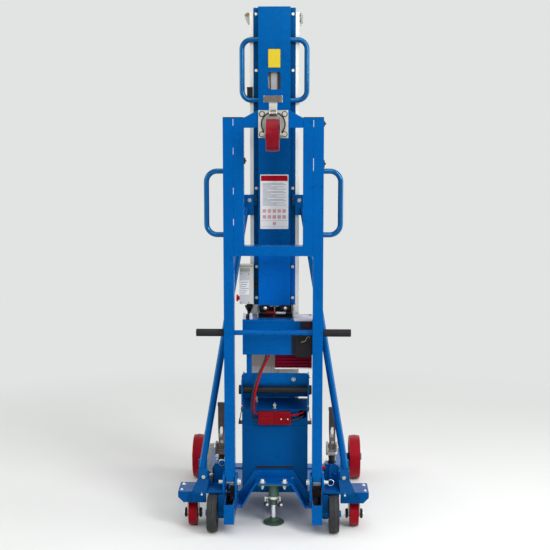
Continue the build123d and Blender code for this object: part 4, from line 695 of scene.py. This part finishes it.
low, high = box_of("control_box")
face = low.y
panel_right = -100.5
panel_grey = finish("panel_grey", "CFCFD2", 0.5, vary=0.05, dirt_and_shade=("85838A", 0.25))
front_plate("control_panel", (low.x + 1.2, low.z + 1), (panel_right, 1019.5), face, 2.2, panel_grey)
front_plate("control_plate", (low.x + 3.5, 928), (panel_right - 2, 987), face - 2.2, 0.8, white)
for i in range(6):
    z = 979 - 8.8 * i
    box((low.x + 6.5, face - 3.2, z - 1.1), (panel_right - 5 - 6 * (i % 3), face - 3, z + 1.1))
piece("control_plate_lines", faint_grey)
plate((low.x + 2.5, 1023.5), (panel_right, 1036.5), 3, face - 2.5, face)
plate((low.x + 6.5, 1026.5), (panel_right - 4, 1033.5), 2, face - 4.2, face - 2.5)
plate((low.x + 1, 1042.5), (high.x - 1, 1047.5), 2, face - 1.8, face)
piece("control_latch", finish("latch_grey", "A9A99A", 0.5, dirt_and_shade=("4A4A40", 0.5)), 0.6)
for z in (low.z + 6, 1013.5):
    for x in (low.x + 6, panel_right - 5):
        screw((x, face - 2.2, z), -Y, 2.1, 1.2)
piece("control_screws", dark_steel)

low, high = box_of("control_cable")
drop = high.z - low.z
cable_top = middle_of("control_cable") + Z * drop / 2
gland = [(0, 0), (10, 0), (10, 7), (15.5, 8), (16.8, 9.5), (16.8, 14), (15.5, 15.5), (16.2, 16.5), (10, 29),
         (7.8, 31), (7, 38), (6.8, drop), (0, drop)]
lathe(gland, cable_top, -Z, 32)
for spot in circle(cable_top - Z * 9.5, 16.4, X, Y, 14):
    tube([spot, spot - Z * 2.2, spot - Z * 4.5], 0.8, 6)
piece("control_gland", black_plastic, replaced="control_cable")

winch_low, winch_high = box_of("winch_housing")
deck = winch_high.z
boot_x, boot_z = -105.5, deck + 7.8
for x in (boot_x - 13, boot_x + 13):
    plate((x - 5.5, deck - 2), (x + 5.5, deck + 25), 5.2, -206, -196, steps=6)
    plate((x - 6.5, -209), (x + 6.5, -150), 3, deck, deck + 3, "Z")
    screw((x, -160, deck + 3), Z, 3, 2.5)
piece("cable_posts", lilac_grey, bevel=0.8)
boot = [(0, 0), (6.8, 0), (7.4, 1), (7.4, 60), (6, 66), (5.2, 90), (0, 90)]
lathe(boot, (boot_x, -203, boot_z), Y, 28)
for i in range(5):
    collar(7, 8, -1, 1, (boot_x, -190 + 9 * i, boot_z), Y, 28)
piece("cable_boot", black_plastic, bevel=0.3)

box((-83.5, -84.5, 955), (-66, -78.5, 983))
box((-80, -88, 960), (-69.5, -84, 978))
bolt((-74.8, -88, 969), -Y, 7, 3)
piece("cover_clip", dark_steel, bevel=1)


# Rope entry above the winch: bed plate, cheeks, guide rollers, eye and top plate

throat_low, throat_high = -66, 77
throat_front, throat_back = -168, -75.5
foot = box_of("mast_cover_lower")[0]
box((throat_low, throat_front, deck), (throat_high, throat_back, deck + 2))
box((-62, throat_back - 4, deck), (70, throat_back, foot.z + 6))
for low, high in ((-54, -22), (25, 63)):
    box((low, foot.y - 3, foot.z - 17), (high, foot.y, foot.z + 4))
piece("rope_bed", black_plastic, bevel=0.6)
cheek = [(throat_front, deck + 1), (throat_front, deck + 9), (foot.y - 0.5, foot.z), (throat_back, foot.z),
         (throat_back, deck + 1)]
for side, x in ((-1, throat_low), (1, throat_high)):
    prism(cheek, x - 1.5, x + 1.5, "X")
    for y, z in ((-150, deck + 12.5), (-100, deck + 30)):
        bolt((x + 1.5 * side, y, z), X * side, 7, 3)
piece("rope_cheeks", zinc, 0.4)
guide_y, guide_z = -148, deck + 16.5
tube([(throat_low, guide_y, guide_z), (throat_high, guide_y, guide_z)], 1.8, 14)
piece("rope_guide_shaft", dark_steel)
roller(4.8, 0.6, 40, (6.5, guide_y, guide_z), X, 24)
piece("rope_guide_roller", lilac_grey)
for x in (-37.5, 45.5):
    bolt((x, foot.y - 3, foot.z - 9.5), -Y, 7, 4)
piece("rope_lug_bolts", pale_zinc)
roller(6.9, 0.7, 39, (-33.5, guide_y, guide_z), X, 24)
piece("rope_guide_red", dark_red)
rope = middle_of("lift_rope")
for z in (foot.z - 10, foot.z - 4):
    ring([(3.2, -2.2), (6.2, -2.2), (6.6, 0), (6.2, 2.2), (3.2, 2.2)], (rope.x, rope.y, z), Z, 24)
for low, high in ((-20, -6), (6, 17)):
    box((low, rope.y - 3, foot.z - 7.5), (high, rope.y + 3, foot.z - 3.5))
piece("rope_eye", finish("pale_brass", "CDBB8C", 0.4, 0.6, vary=0.15, patch=50), bevel=0.3)
plate((79.5, winch_low.y + 1), (winch_high.x - 1, -94), 4, deck, deck + 2.5, "Z")
box((81.5, winch_low.y - 1.8, deck - 5), (winch_high.x - 2, winch_low.y + 1.2, deck + 2.3))
piece("winch_top_plate", lilac_grey, 0.8)
lathe([(0, 0), (6.5, 0), (6.2, 1.2), (3.6, 1.4), (3.4, 0.6), (0, 0.6)], (147.5, -110, deck + 2.5), Z, 24)
piece("winch_top_plug", black_plastic)


# Winch front: lip, switch plates painted night blue as shade, and wire; wear plate on the mast; ribs and strip
# of the charger

winch_face = winch_low.y
box((winch_low.x + 2, winch_face - 2.5, deck - 10.5), (80, winch_face + 0.5, deck - 1.5))
piece("winch_lip", blue, 1.1)
low, high = box_of("switch_box")
# Night blue is painted shade: the flange and the rose below are dark sheets where the right of the winch front
# falls into shadow.
shade_night_blue = finish("shade_night_blue", "04122E", 0.45, specular=0.3, vary=0.15)
plate((low.x - 16, low.z - 4), (winch_high.x - 1.5, high.z + 10), 6, winch_face - 2, winch_face)
piece("switch_shade_flange", shade_night_blue, 0.6)
shade_rose_corner = (middle_of("main_switch").x - 32, box_of("main_switch")[0].z - 6)
plate(shade_rose_corner, (winch_high.x - 0.5, deck - 0.5), 4, winch_face - 1.2, winch_face)
piece("switch_shade_rose", shade_night_blue, bevel=0.4)
wire = [(108, 4, 749), (110, -3, 755), (115, -5, 757.5), (121, -5, 757), (126, -5, 760), (131, -5, 769),
        (135, -5, 776), (139.5, -4, 778), (143, -3, 775), (143.5, 4, 769)]
tube([(x, low.y + y, z) for x, y, z in wire], 1, 10)
piece("switch_wire", finish("tan_wire", "B8A27C", 0.5))
plate((low.x + 1, low.z - 12), (high.x - 1, low.z + 42), 4, low.y - 1.2, low.y)
for x in (low.x + 10, high.x - 10):
    for z in (low.z - 4, low.z + 36):
        screw((x, low.y - 1.2, z), -Y, 2.6, 1.6)
piece("switch_box_cover", finish("plum_black", "0C060C", 0.4, specular=0.3, vary=0.2), bevel=0.4)

plate((-96, 620), (96, 698.5), 3, mast_low.y - 1.2, mast_low.y)
beige_sheet = finish("beige_sheet", "D2C3B2", 0.55, vary=0.08, patch=14, stretch=UPRIGHT, dirt_and_shade=("8A7B68", 0.3))
piece("mast_wear_plate", beige_sheet, bevel=0.4)
low, high = box_of("charger")
ribs = 9
for i in range(ribs):
    z = low.z + (i + 0.5) * (high.z - low.z) / ribs
    rib = [(low.y, z - 2.2), (low.y - 3.5, z - 0.8), (low.y - 3.5, z + 0.8), (low.y, z + 2.2)]
    prism(rib, low.x + 4, high.x - 4, "X")
piece("charger_ribs", red_metal, 0.3)
box((low.x, low.y - 1, low.z - 5.5), (high.x, low.y + 20, low.z))
for x in (low.x + 12, high.x - 12):
    screw((x, low.y - 1, low.z - 2.8), -Y, 2.2, 1.2)
piece("charger_strip", pale_zinc, 0.4)


# Loading roller: ringed bolt, axle nuts and cheek bolts

bolt_spot = (79.5, -200, 594)
ring([(6.2, 0), (8.5, 0), (8.3, 1.2), (6.4, 1.2)], bolt_spot, -Y, 28)
bolt(bolt_spot, -Y, 8.5, 5, washer=False)
piece("roller_plate_bolt", zinc)
axle = middle_of("loading_roller")
bracket_low, bracket_high = box_of("roller_bracket")
for side, x in ((-1, bracket_low.x), (1, bracket_high.x)):
    bolt((x, axle.y, axle.z), X * side, 12, 6)
    for z in (584, 512):
        bolt((x, -110, z), X * side, 9, 5)
piece("roller_axle_nuts", zinc)


# Battery box: lid latches, connector ribs and holes, lid studs, and the tail of the roller bracket

tray_low, tray_high = box_of("battery_box")
strut = ((1, 464), (4.5, 463), (15, 404), (11.5, 403))
# The left latch takes the navy of painted shade; the right one is lilac grey.
for side, word, x, latch_finish in ((-1, "left", tray_low.x, shade_navy), (1, "right", tray_high.x, lilac_grey)):
    prism([(x + side * dx, z) for dx, z in strut], -172, -136)
    piece(f"lid_latch_{word}", latch_finish, 0.8)
    for reach, foot, top in ((16.5, 398.5, 404.5), (4, 452, 466)):
        box((x, -174, foot), (x + side * reach, -134, top))
    for reach, z, radius in ((12.8, 411, 3), (5, 462, 2.2)):
        tube([(x + side * reach, -175, z), (x + side * reach, -133, z)], radius, 12)
    piece(f"lid_latch_base_{word}", dark_grey, 0.5)

low, high = box_of("battery_connector")
for i in range(9):
    x = 11 + 6.3 * i
    plate((x - 1.6, low.z + 7), (x + 1.6, high.z - 7), 1.2, low.y - 1.6, low.y)
plate((low.x + 6, low.z + 6), (-6, high.z - 6), 3, low.y - 1.4, low.y)
for z in (low.z + 14, high.z - 14):
    tube([(low.x + 10, low.y - 1.4, z), (-10, low.y - 1.4, z)], 1.8, 8)
piece("connector_ribs", connector_red, 0.5)
box((-1.2, low.y - 0.6, low.z + 2), (1.2, low.y + 1, high.z - 2))
piece("connector_gap", dark_red)
for x in (30, 57):
    screw((x, low.y - 1.4, 436), -Y, 3, 1.8)
piece("connector_screws", pale_zinc)
wings = ((-6.5, 15), (-3, 8), (3, 8), (6.5, 15), (5, 18), (0, 12), (-5, 18))
for x, y, z in ((3, -193.5, 471.2), (-73.5, -120, 480)):
    bolt((x, y, z), Z, 9, 6)
    tube([(x, y, z + 4), (x, y, z + 13), (x, y, z + 24)], 2.6, 14)
    prism(wings, y - 2, y + 2, shift=(x, z))
piece("lid_studs", zinc)
plate((bracket_low.x + 0.5, 479), (86, 495.5), 3, -84, -81.2)
piece("roller_tail", blue, 0.6)
for i in range(15):
    screw((-70 + 9 * i, -84, 490.5), -Y, 1.3, 0.9)
piece("roller_tail_rivets", lilac_grey)
for i in range(4):
    for k in range(2):
        hole = (low.x + 12 + 13 * i, low.y - 1.4, low.z + 19 + 15 * k)
        lathe([(0, 0), (1.7, 0), (1.7, 0.9), (0, 0.9)], hole, -Y, 12)
piece("connector_holes", black_plastic)


# Hinges: pins and their collars, key ring, stop blocks and noses of the legs

bright_pin = finish("bright_pin", "E2DFD4", 0.4, 0.35, vary=0.12, patch=40, dirt_and_shade=("7A7362", 0.35))
rounded("hinge_pins", bright_pin, 1.2)
pin = middle_of("hinge_pins")
pin_head = [(0, 0), (11.8, 0), (12.5, 0.8), (12.5, 4.5), (11, 6.2), (0, 6.6)]
for side in (-1, 1):
    lathe(pin_head, (side * 138.5, pin.y, pin.z), X * -side, 32)
    collar(8.2, 12.5, 0, 2, (side * 203.5, pin.y, pin.z), X * side, 28)
piece("pin_collars", pale_zinc, 0.5)
ring_radius = 12.5
ring_x = box_of("hinge_pins")[1].x + ring_radius - 4
wire_ring((ring_x, pin.y, pin.z), Y, ring_radius, 36, 1.3, 10)
wire_ring((ring_x, pin.y - 2.2, pin.z), Y, ring_radius, 36, 1.2, 10)
piece("pin_ring", chrome)
stop_front, stop_back, stop_top = -253.5, -228.5, 158
beam_top = box_of("base_deck")[1].z
for low, high in ((-178.5, -156.5), (156.5, 193.5)):
    box((low, stop_front, beam_top - 4), (high, stop_back, stop_top))
    box((low + 3, stop_front - 3, stop_top - 24), (high - 3, stop_front + 1, stop_top - 3))
piece("leg_stops", finish("stop_rubber", "4A403C", 0.8, specular=0.15, vary=0.3, patch=50), bevel=2)
nose = [(leg_face, 216.5), (leg_face, 196.5), (-297.5, 194.5), (-290, 194.5), (-290, 216.5)]
for side in (-1, 1):
    prism(nose, side * 159.2, side * 190.8, "X")
piece("leg_noses", blue, 0.8, body="frame")


# Outriggers: foot plates of the stays, wheel hangers, bolts and skirt folds, the plates, hangers and folds in
# navy as painted shade

def strip(stations, thickness, side):
    """A bent plate through stations of (inner, outer, depth, height), mirrored to one side."""
    rows = []
    for station, before, after in zip(stations, stations[:1] + stations, stations[1:] + stations[-1:]):
        inner, outer, y, z = station
        along = Vector((0, after[2] - before[2], after[3] - before[3])).normalized()
        out = Vector((0, along.z, -along.y)) * thickness
        first, second = Vector((side * inner, y, z)), Vector((side * outer, y, z))
        rows.append([vertex(place) for place in (first, second, second + out, first + out)])
    skin(rows)


out_low = box_of("outriggers")[0]
out_top = 161
# The foot plates and the wheel hangers below take the navy of painted shade.
foot_plate = [(262, 308, -254.8, 190), (263, 311, -260, 184), (266.5, 326, -314, 161.5),
              (268.5, 328, -321.2, 154), (270.5, 328, -321.2, 117)]
for side in (-1, 1):
    strip(foot_plate, 3.5, side)
piece("stay_foot_plates", shade_navy, 0.8)
hanger_top = 153.5
for side in (-1, 1):
    plate((side * 195.7, 56), (side * 221.3, hanger_top), 7, -339, -330)
    plate((side * 203.7, 133), (side * 268.5, hanger_top), 3, -250.5, -245.5)
    box((side * 203.7, -210.5, 85), (side * 268.5, -204.5, hanger_top))
piece("wheel_hangers", shade_navy, 1.2)
for side in (-1, 1):
    bolt((side * 286.5, -321.2, 150), -Y, 7.5, 4.5)
    for x, y, size in ((366.5, -233, 8), (368.5, -300, 6.5)):
        bolt((side * x, y, out_top), Z, size, 4.5)
piece("outrigger_bolts", pale_zinc)
# The skirt folds are navy strips, painted shade on the front of the skirt.
skirt = ((313.5, out_top + 1.2), (330, out_top - 10), (330, out_low.z + 1), (347, out_low.z + 1),
         (347, out_top - 18), (336, out_top - 4), (328, out_top + 1.2))
for side in (-1, 1):
    prism([(side * x, z) for x, z in skirt], out_low.y - 1.2, out_low.y + 1)
piece("skirt_folds", shade_navy, 0.3)


# Casters: black hub discs under zinc nuts

hub_disc = [(6.2, -5.5), (19, -5.5), (19.5, -5), (19.5, 2.2), (16.5, 4), (9.5, 4), (9.5, 2.8), (6.2, 2.8)]
for side, word in SIDES:
    low, high = box_of(f"caster_fork_{word}")
    hub = middle_of(f"caster_wheel_{word}")
    for x, way in ((low.x + 5.2, -1), (high.x - 5.2, 1)):
        ring(hub_disc, (x, hub.y, hub.z), X * way, 36)
    piece(f"caster_discs_{word}", black_plastic, bevel=0.4, body=f"caster_{word}")
    for x, way in ((low.x, -1), (high.x, 1)):
        ring([(5, -1), (9.8, -1), (9.8, 1.2), (8.8, 2.2), (5, 2.2)], (x, hub.y, hub.z), X * way, 6)
    piece(f"caster_nuts_{word}", pale_zinc, body=f"caster_{word}")


# Floor lock: plate bolts, clamp with springs, rims, chrome stem on a green foot; a dark rubber strip along the
# foot of the battery box, a painted shadow gap

def coil(place, radius, height, turns, steps):
    """Places up a helix."""
    shares = [i / (steps - 1) for i in range(steps)]
    angles = [2 * pi * turns * share for share in shares]
    return [place + Vector((-radius * sin(a), radius * cos(a), height * share))
            for a, share in zip(angles, shares)]


low, high = box_of("floor_lock_foot")
lock_y = middle_of("floor_lock_foot").y
for x in (-45, 45):
    bolt((x, -276.5, 186), Z, 13.5, 10.5)
    bolt((x, -276.5, 174), -Z, 13, 10, washer=False)
    tube([(x, -276.5, 170), (x, -276.5, 158)], 4.2, 16)
screw((75.5, -213.2, 183), -Y, 3, 2)
piece("floor_lock_bolts", pale_zinc)
sleeve_radius, sleeve_foot = 21.5, 100
collar(sleeve_radius, 24.5, 0, 10, (0, lock_y, 106), Z, 40)
for side, reach, bolt_reach in ((-1, 36, 26), (1, 28, 31)):
    box((side * 22.5, lock_y - 19, 108), (side * reach, lock_y - 15, 114))
    box((side * (reach - 3), lock_y - 22, 94), (side * reach, lock_y - 10, 119))
    wire_ring((side * (reach - 6.5), lock_y - 20, 98), Y, 4.8, 20, 1.3, 8)
    bolt((side * bolt_reach, lock_y - 24, 84.5), -Y, 5.5, 3)
piece("floor_lock_clamp", pale_zinc, 0.3)
for side, reach in ((-1, 31), (1, 27)):
    post = Vector((side * reach, lock_y - 17, 0))
    tube(coil(post + Z * 78, 6, 20, 5, 96), 1.4, 8)
    tube([post + Z * 110, post + Z * 95, post + Z * 76], 3, 12)
    box((side * 15, lock_y - 24, 78.5), (side * 36.5, lock_y - 12, 81.5))
piece("floor_lock_springs", dark_steel, 0.3)
collar(20.5, 22.8, 0, 4, (0, lock_y, sleeve_foot), Z, 40)
ring([(sleeve_radius, 0), (25.5, 2), (25.5, 6), (sleeve_radius, 10)], (0, lock_y, 158), Z, 40)
ring([(10.8, -21), (14, -21), (14.6, -19), (14.6, 2), (10.8, 2)], (0, lock_y, sleeve_foot), Z, 40)
piece("floor_lock_rims", green, 0.4)
# A dark rubber strip along the foot of the battery box, a painted shadow gap above the bridge.
box((-75, tray_low.y - 0.8, 222.5), (80, tray_low.y + 0.5, 231))
piece("battery_foot_shadow_strip", rubber, bevel=0.3)

stem_radius, rim = 10, (high.x - low.x) / 2
stem = [(0, 8), (stem_radius, 8), (stem_radius, high.z - 2), (stem_radius - 2, high.z), (0, high.z)]
lathe(stem, (0, lock_y, 0), Z, 36)
piece("floor_lock_stem", chrome, body="lock_foot", replaced="floor_lock_foot")
cup = [(0, 0), (rim - 3, 0), (rim, 3), (rim, 7.5), (rim - 2.5, 9), (30, 9.5), (18.5, 13), (16.8, 17),
       (16.5, 23.5), (15, 24.5), (10.1, 24.5), (10.1, 9)]
lathe(cup, (0, lock_y, 0), Z, 56)
piece("floor_lock_cup", finish("dark_green", "2F4A3C", 0.45, dirt_and_shade=("141E18", 0.4)),
      body="lock_foot", replaced="floor_lock_foot")


# Hand pumps, standing for the plain pump solids

pump_grey = finish("pump_grey", "B4B1A9", 0.55, 0.25, vary=0.15, patch=45, dirt_and_shade=("5C564E", 0.4))
brown_grey = finish("brown_grey", "6E6560", 0.6, 0.3, vary=0.25, patch=50, dirt_and_shade=("2E2622", 0.5))
pump_y, deck_z, body_top, block_foot, block_top = -165, 125, 236, 273, 318
face_y = pump_y - 30
neck_top = block_foot - body_top + 4
neck = [(0, 0), (16, 0), (16, 8), (11.5, 10), (11.5, 20), (14, 22), (14, 30), (10.5, 31), (10.5, neck_top),
        (0, neck_top)]
block_front, block_back = pump_y - 22.8, pump_y + 22.8
for side, word in SIDES:
    centre = middle_of(f"pump_lever_{word}").x
    foot_outer = centre + side * 34
    plate((side * 154.5, pump_y - 33), (foot_outer, pump_y + 33), 4, deck_z, deck_z + 6, "Z")
    plate((centre - 33, pump_y - 30), (centre + 33, pump_y + 30), 10, deck_z + 6, body_top - 8, "Z", 6)
    plate((centre - 28, pump_y - 26), (centre + 28, pump_y + 26), 10, body_top - 9, body_top, "Z", 6)
    piece(f"pump_body_{word}", blue, 2, replaced="pumps")
    lathe(neck, (centre, pump_y, body_top - 1), Z, 32)
    collar(11.8, 15, 0, 3, (centre, pump_y, body_top + 13), Z, 6)
    piece(f"pump_neck_{word}", dark_steel, 0.4, replaced="pumps")
    for left, right, top in ((-23.8, -15.4, block_top), (15.4, 23.8, block_top),
                             (-23.8, 23.8, block_foot + 12.8)):
        plate((centre + left, block_front), (centre + right, block_back), 3, block_foot, top, "Z")
    cast = brown_grey if side < 0 else pump_grey
    piece(f"pump_block_{word}", cast, 1.8, replaced="pumps")
    if side > 0:
        bolt((centre + 16, block_front, block_foot + 7), -Y, 6, 4)
    for y in (-26, 26):
        bolt((foot_outer - side * 6, pump_y + y, deck_z + 6), Z, 8, 5)
    piece(f"pump_bolts_{word}", pale_zinc)
    if side > 0:
        angles = [pi * k / 14 for k in range(15)]
        arch = [(centre + 8.5 + 20.5 * cos(a), 222 + 20.5 * sin(a)) for a in angles]
        prism([(centre - 12, 165), (centre + 29, 165)] + arch, face_y - 12, face_y)
        bolt((centre + 8.5, face_y - 12, 200), -Y, 10, 5)
    else:
        lathe([(0, 0), (11.8, 0), (11.8, 10), (0, 12)], (centre + 4.5, face_y, 244), -Y, 32)
    piece(f"pump_plate_{word}", blue, 1.5)

left, right = (middle_of(f"pump_lever_{word}").x for side, word in SIDES)
rod = Vector((right + 38.5, pump_y - 18, 0))
for i in range(5):
    roller(6.8, 0.6, 5.2, rod + Z * (192 + 8.5 * i), Z, 28)
tube([rod + Z * 150, rod + Z * 236], 3.8, 16)
box((right + 30, pump_y - 23, 176), (right + 44.5, pump_y - 13, 190))
piece("pump_adjuster", pale_zinc, 0.4)
lathe([(0, 0), (4.2, 0), (4.2, 5), (7.2, 6), (7.2, 13.5), (5.5, 16), (0, 16.5)], (right - 31, pump_y - 26, 220),
      (-0.35, -0.8, 0.3), 24)
piece("pump_knob", red_plastic)
slant = [(-26, 320), (-46, 318), (-64, 217), (-64, 207), (-36, 207), (-36, 216), (-44.5, 220)]
prism(slant, face_y, pump_y - 12, shift=(left, 0))
box((left - 64, pump_y - 36, 203.5), (left - 34, pump_y - 6, 208.5))
piece("pump_slant_plate", pump_grey, 1.2)
box((left - 58, face_y, 131), (left - 34, pump_y + 4, 203.5))
piece("pump_side_bracket", brown_grey, 1.5)
bolt((left - 16, pump_y - 23.5, 268), -Y, 7.5, 5)
ring([(11.8, 0), (14, 0), (14, 11.5), (11.8, 12.5)], (left + 4.5, face_y, 244), -Y, 36)
bolt((left - 40, face_y, 190), -Y, 8, 4)
piece("pump_left_fittings", pale_zinc)
lathe([(0, -8), (4.8, -6.4), (7.5, -3), (8, 0), (7.5, 3), (4.8, 6.4), (0, 8)], (left + 6, pump_y - 26.5, 258),
      -Y, 24)
piece("pump_ball", black_plastic)

half, pivot = 14.5, 303
clevis = [(-4, 54), (6, 54), (7.5, 66), (6.5, 84), (-2.5, 84), (-5.5, 68)]
lever_brown = finish("lever_brown", "453C3F", 0.42, 0.5, vary=0.25, patch=40, dirt_and_shade=("1C1618", 0.4))
for side, word in SIDES:
    node, body = f"pump_lever_{word}", f"lever_{word}"
    low, high = box_of(node)
    x, y, z = middle_of(node).x, middle_of(node).y, pivot
    foot, top = low.z + 2 - pivot, high.z - pivot
    blade = [(-10.5, foot), (10.5, foot), (half, -6), (half, 70), (-12.5, 70), (-10.5, 20), (-half, 10),
             (-half, -6)]
    prism(blade, y - 6.5, y + 6.5, shift=(x, z))
    roller(5.8, 0.6, high.x - low.x, (low.x, y, z), X, 28)
    piece(f"lever_blade_{word}", brown_grey, 1, body, node)
    handle = [(-12, 55), (half, 55), (half, top), (-half, top), (-half, top - 12), (-12.8, top - 18),
              (-12.8, 80)]
    prism(handle, y - 6.8, y + 6.8, shift=(x, z))
    piece(f"lever_handle_{word}", lever_brown, 3, body, node)
    for right, up, radius in ((3, 20, 5.5), (-1, 48, 6)):
        bore = radius * 0.6
        ring([(bore, 0), (radius, 0), (radius, 1.2), (bore, 1.6)], (x + right, y - 6.6, z + up), -Y, 24)
    prism(clevis, y - 7.2, y - 6, shift=(x, z))
    piece(f"lever_eyes_{word}", pale_zinc, body=body)


# Floor, in metres

half_floor = 60.0
clear_radius, pale_radius = 0.9, 2.8
floor_mesh = bpy.data.meshes.new("floor")
corners = ((-1, -1), (1, -1), (1, 1), (-1, 1))
floor_mesh.from_pydata([(x * half_floor, y * half_floor, 0.0) for x, y in corners], [], [(0, 1, 2, 3)])
floor_finish = finish("floor_grey", "EDEEED", 0.8, vary=0.015, patch=1.5, bump=0.02)
floor_tree = floor_finish.node_tree
distance = node_of(floor_tree, "VectorMath")
distance.operation = "LENGTH"
floor_tree.links.new(node_of(floor_tree, "TexCoord").outputs["Object"], distance.inputs[0])
fade = ramp(floor_tree, distance.outputs["Value"], clear_radius, pale_radius)
show_pale(floor_tree, "Emission", fade)
floor_mesh.materials.append(floor_finish)
floor = add_object("floor", floor_mesh)
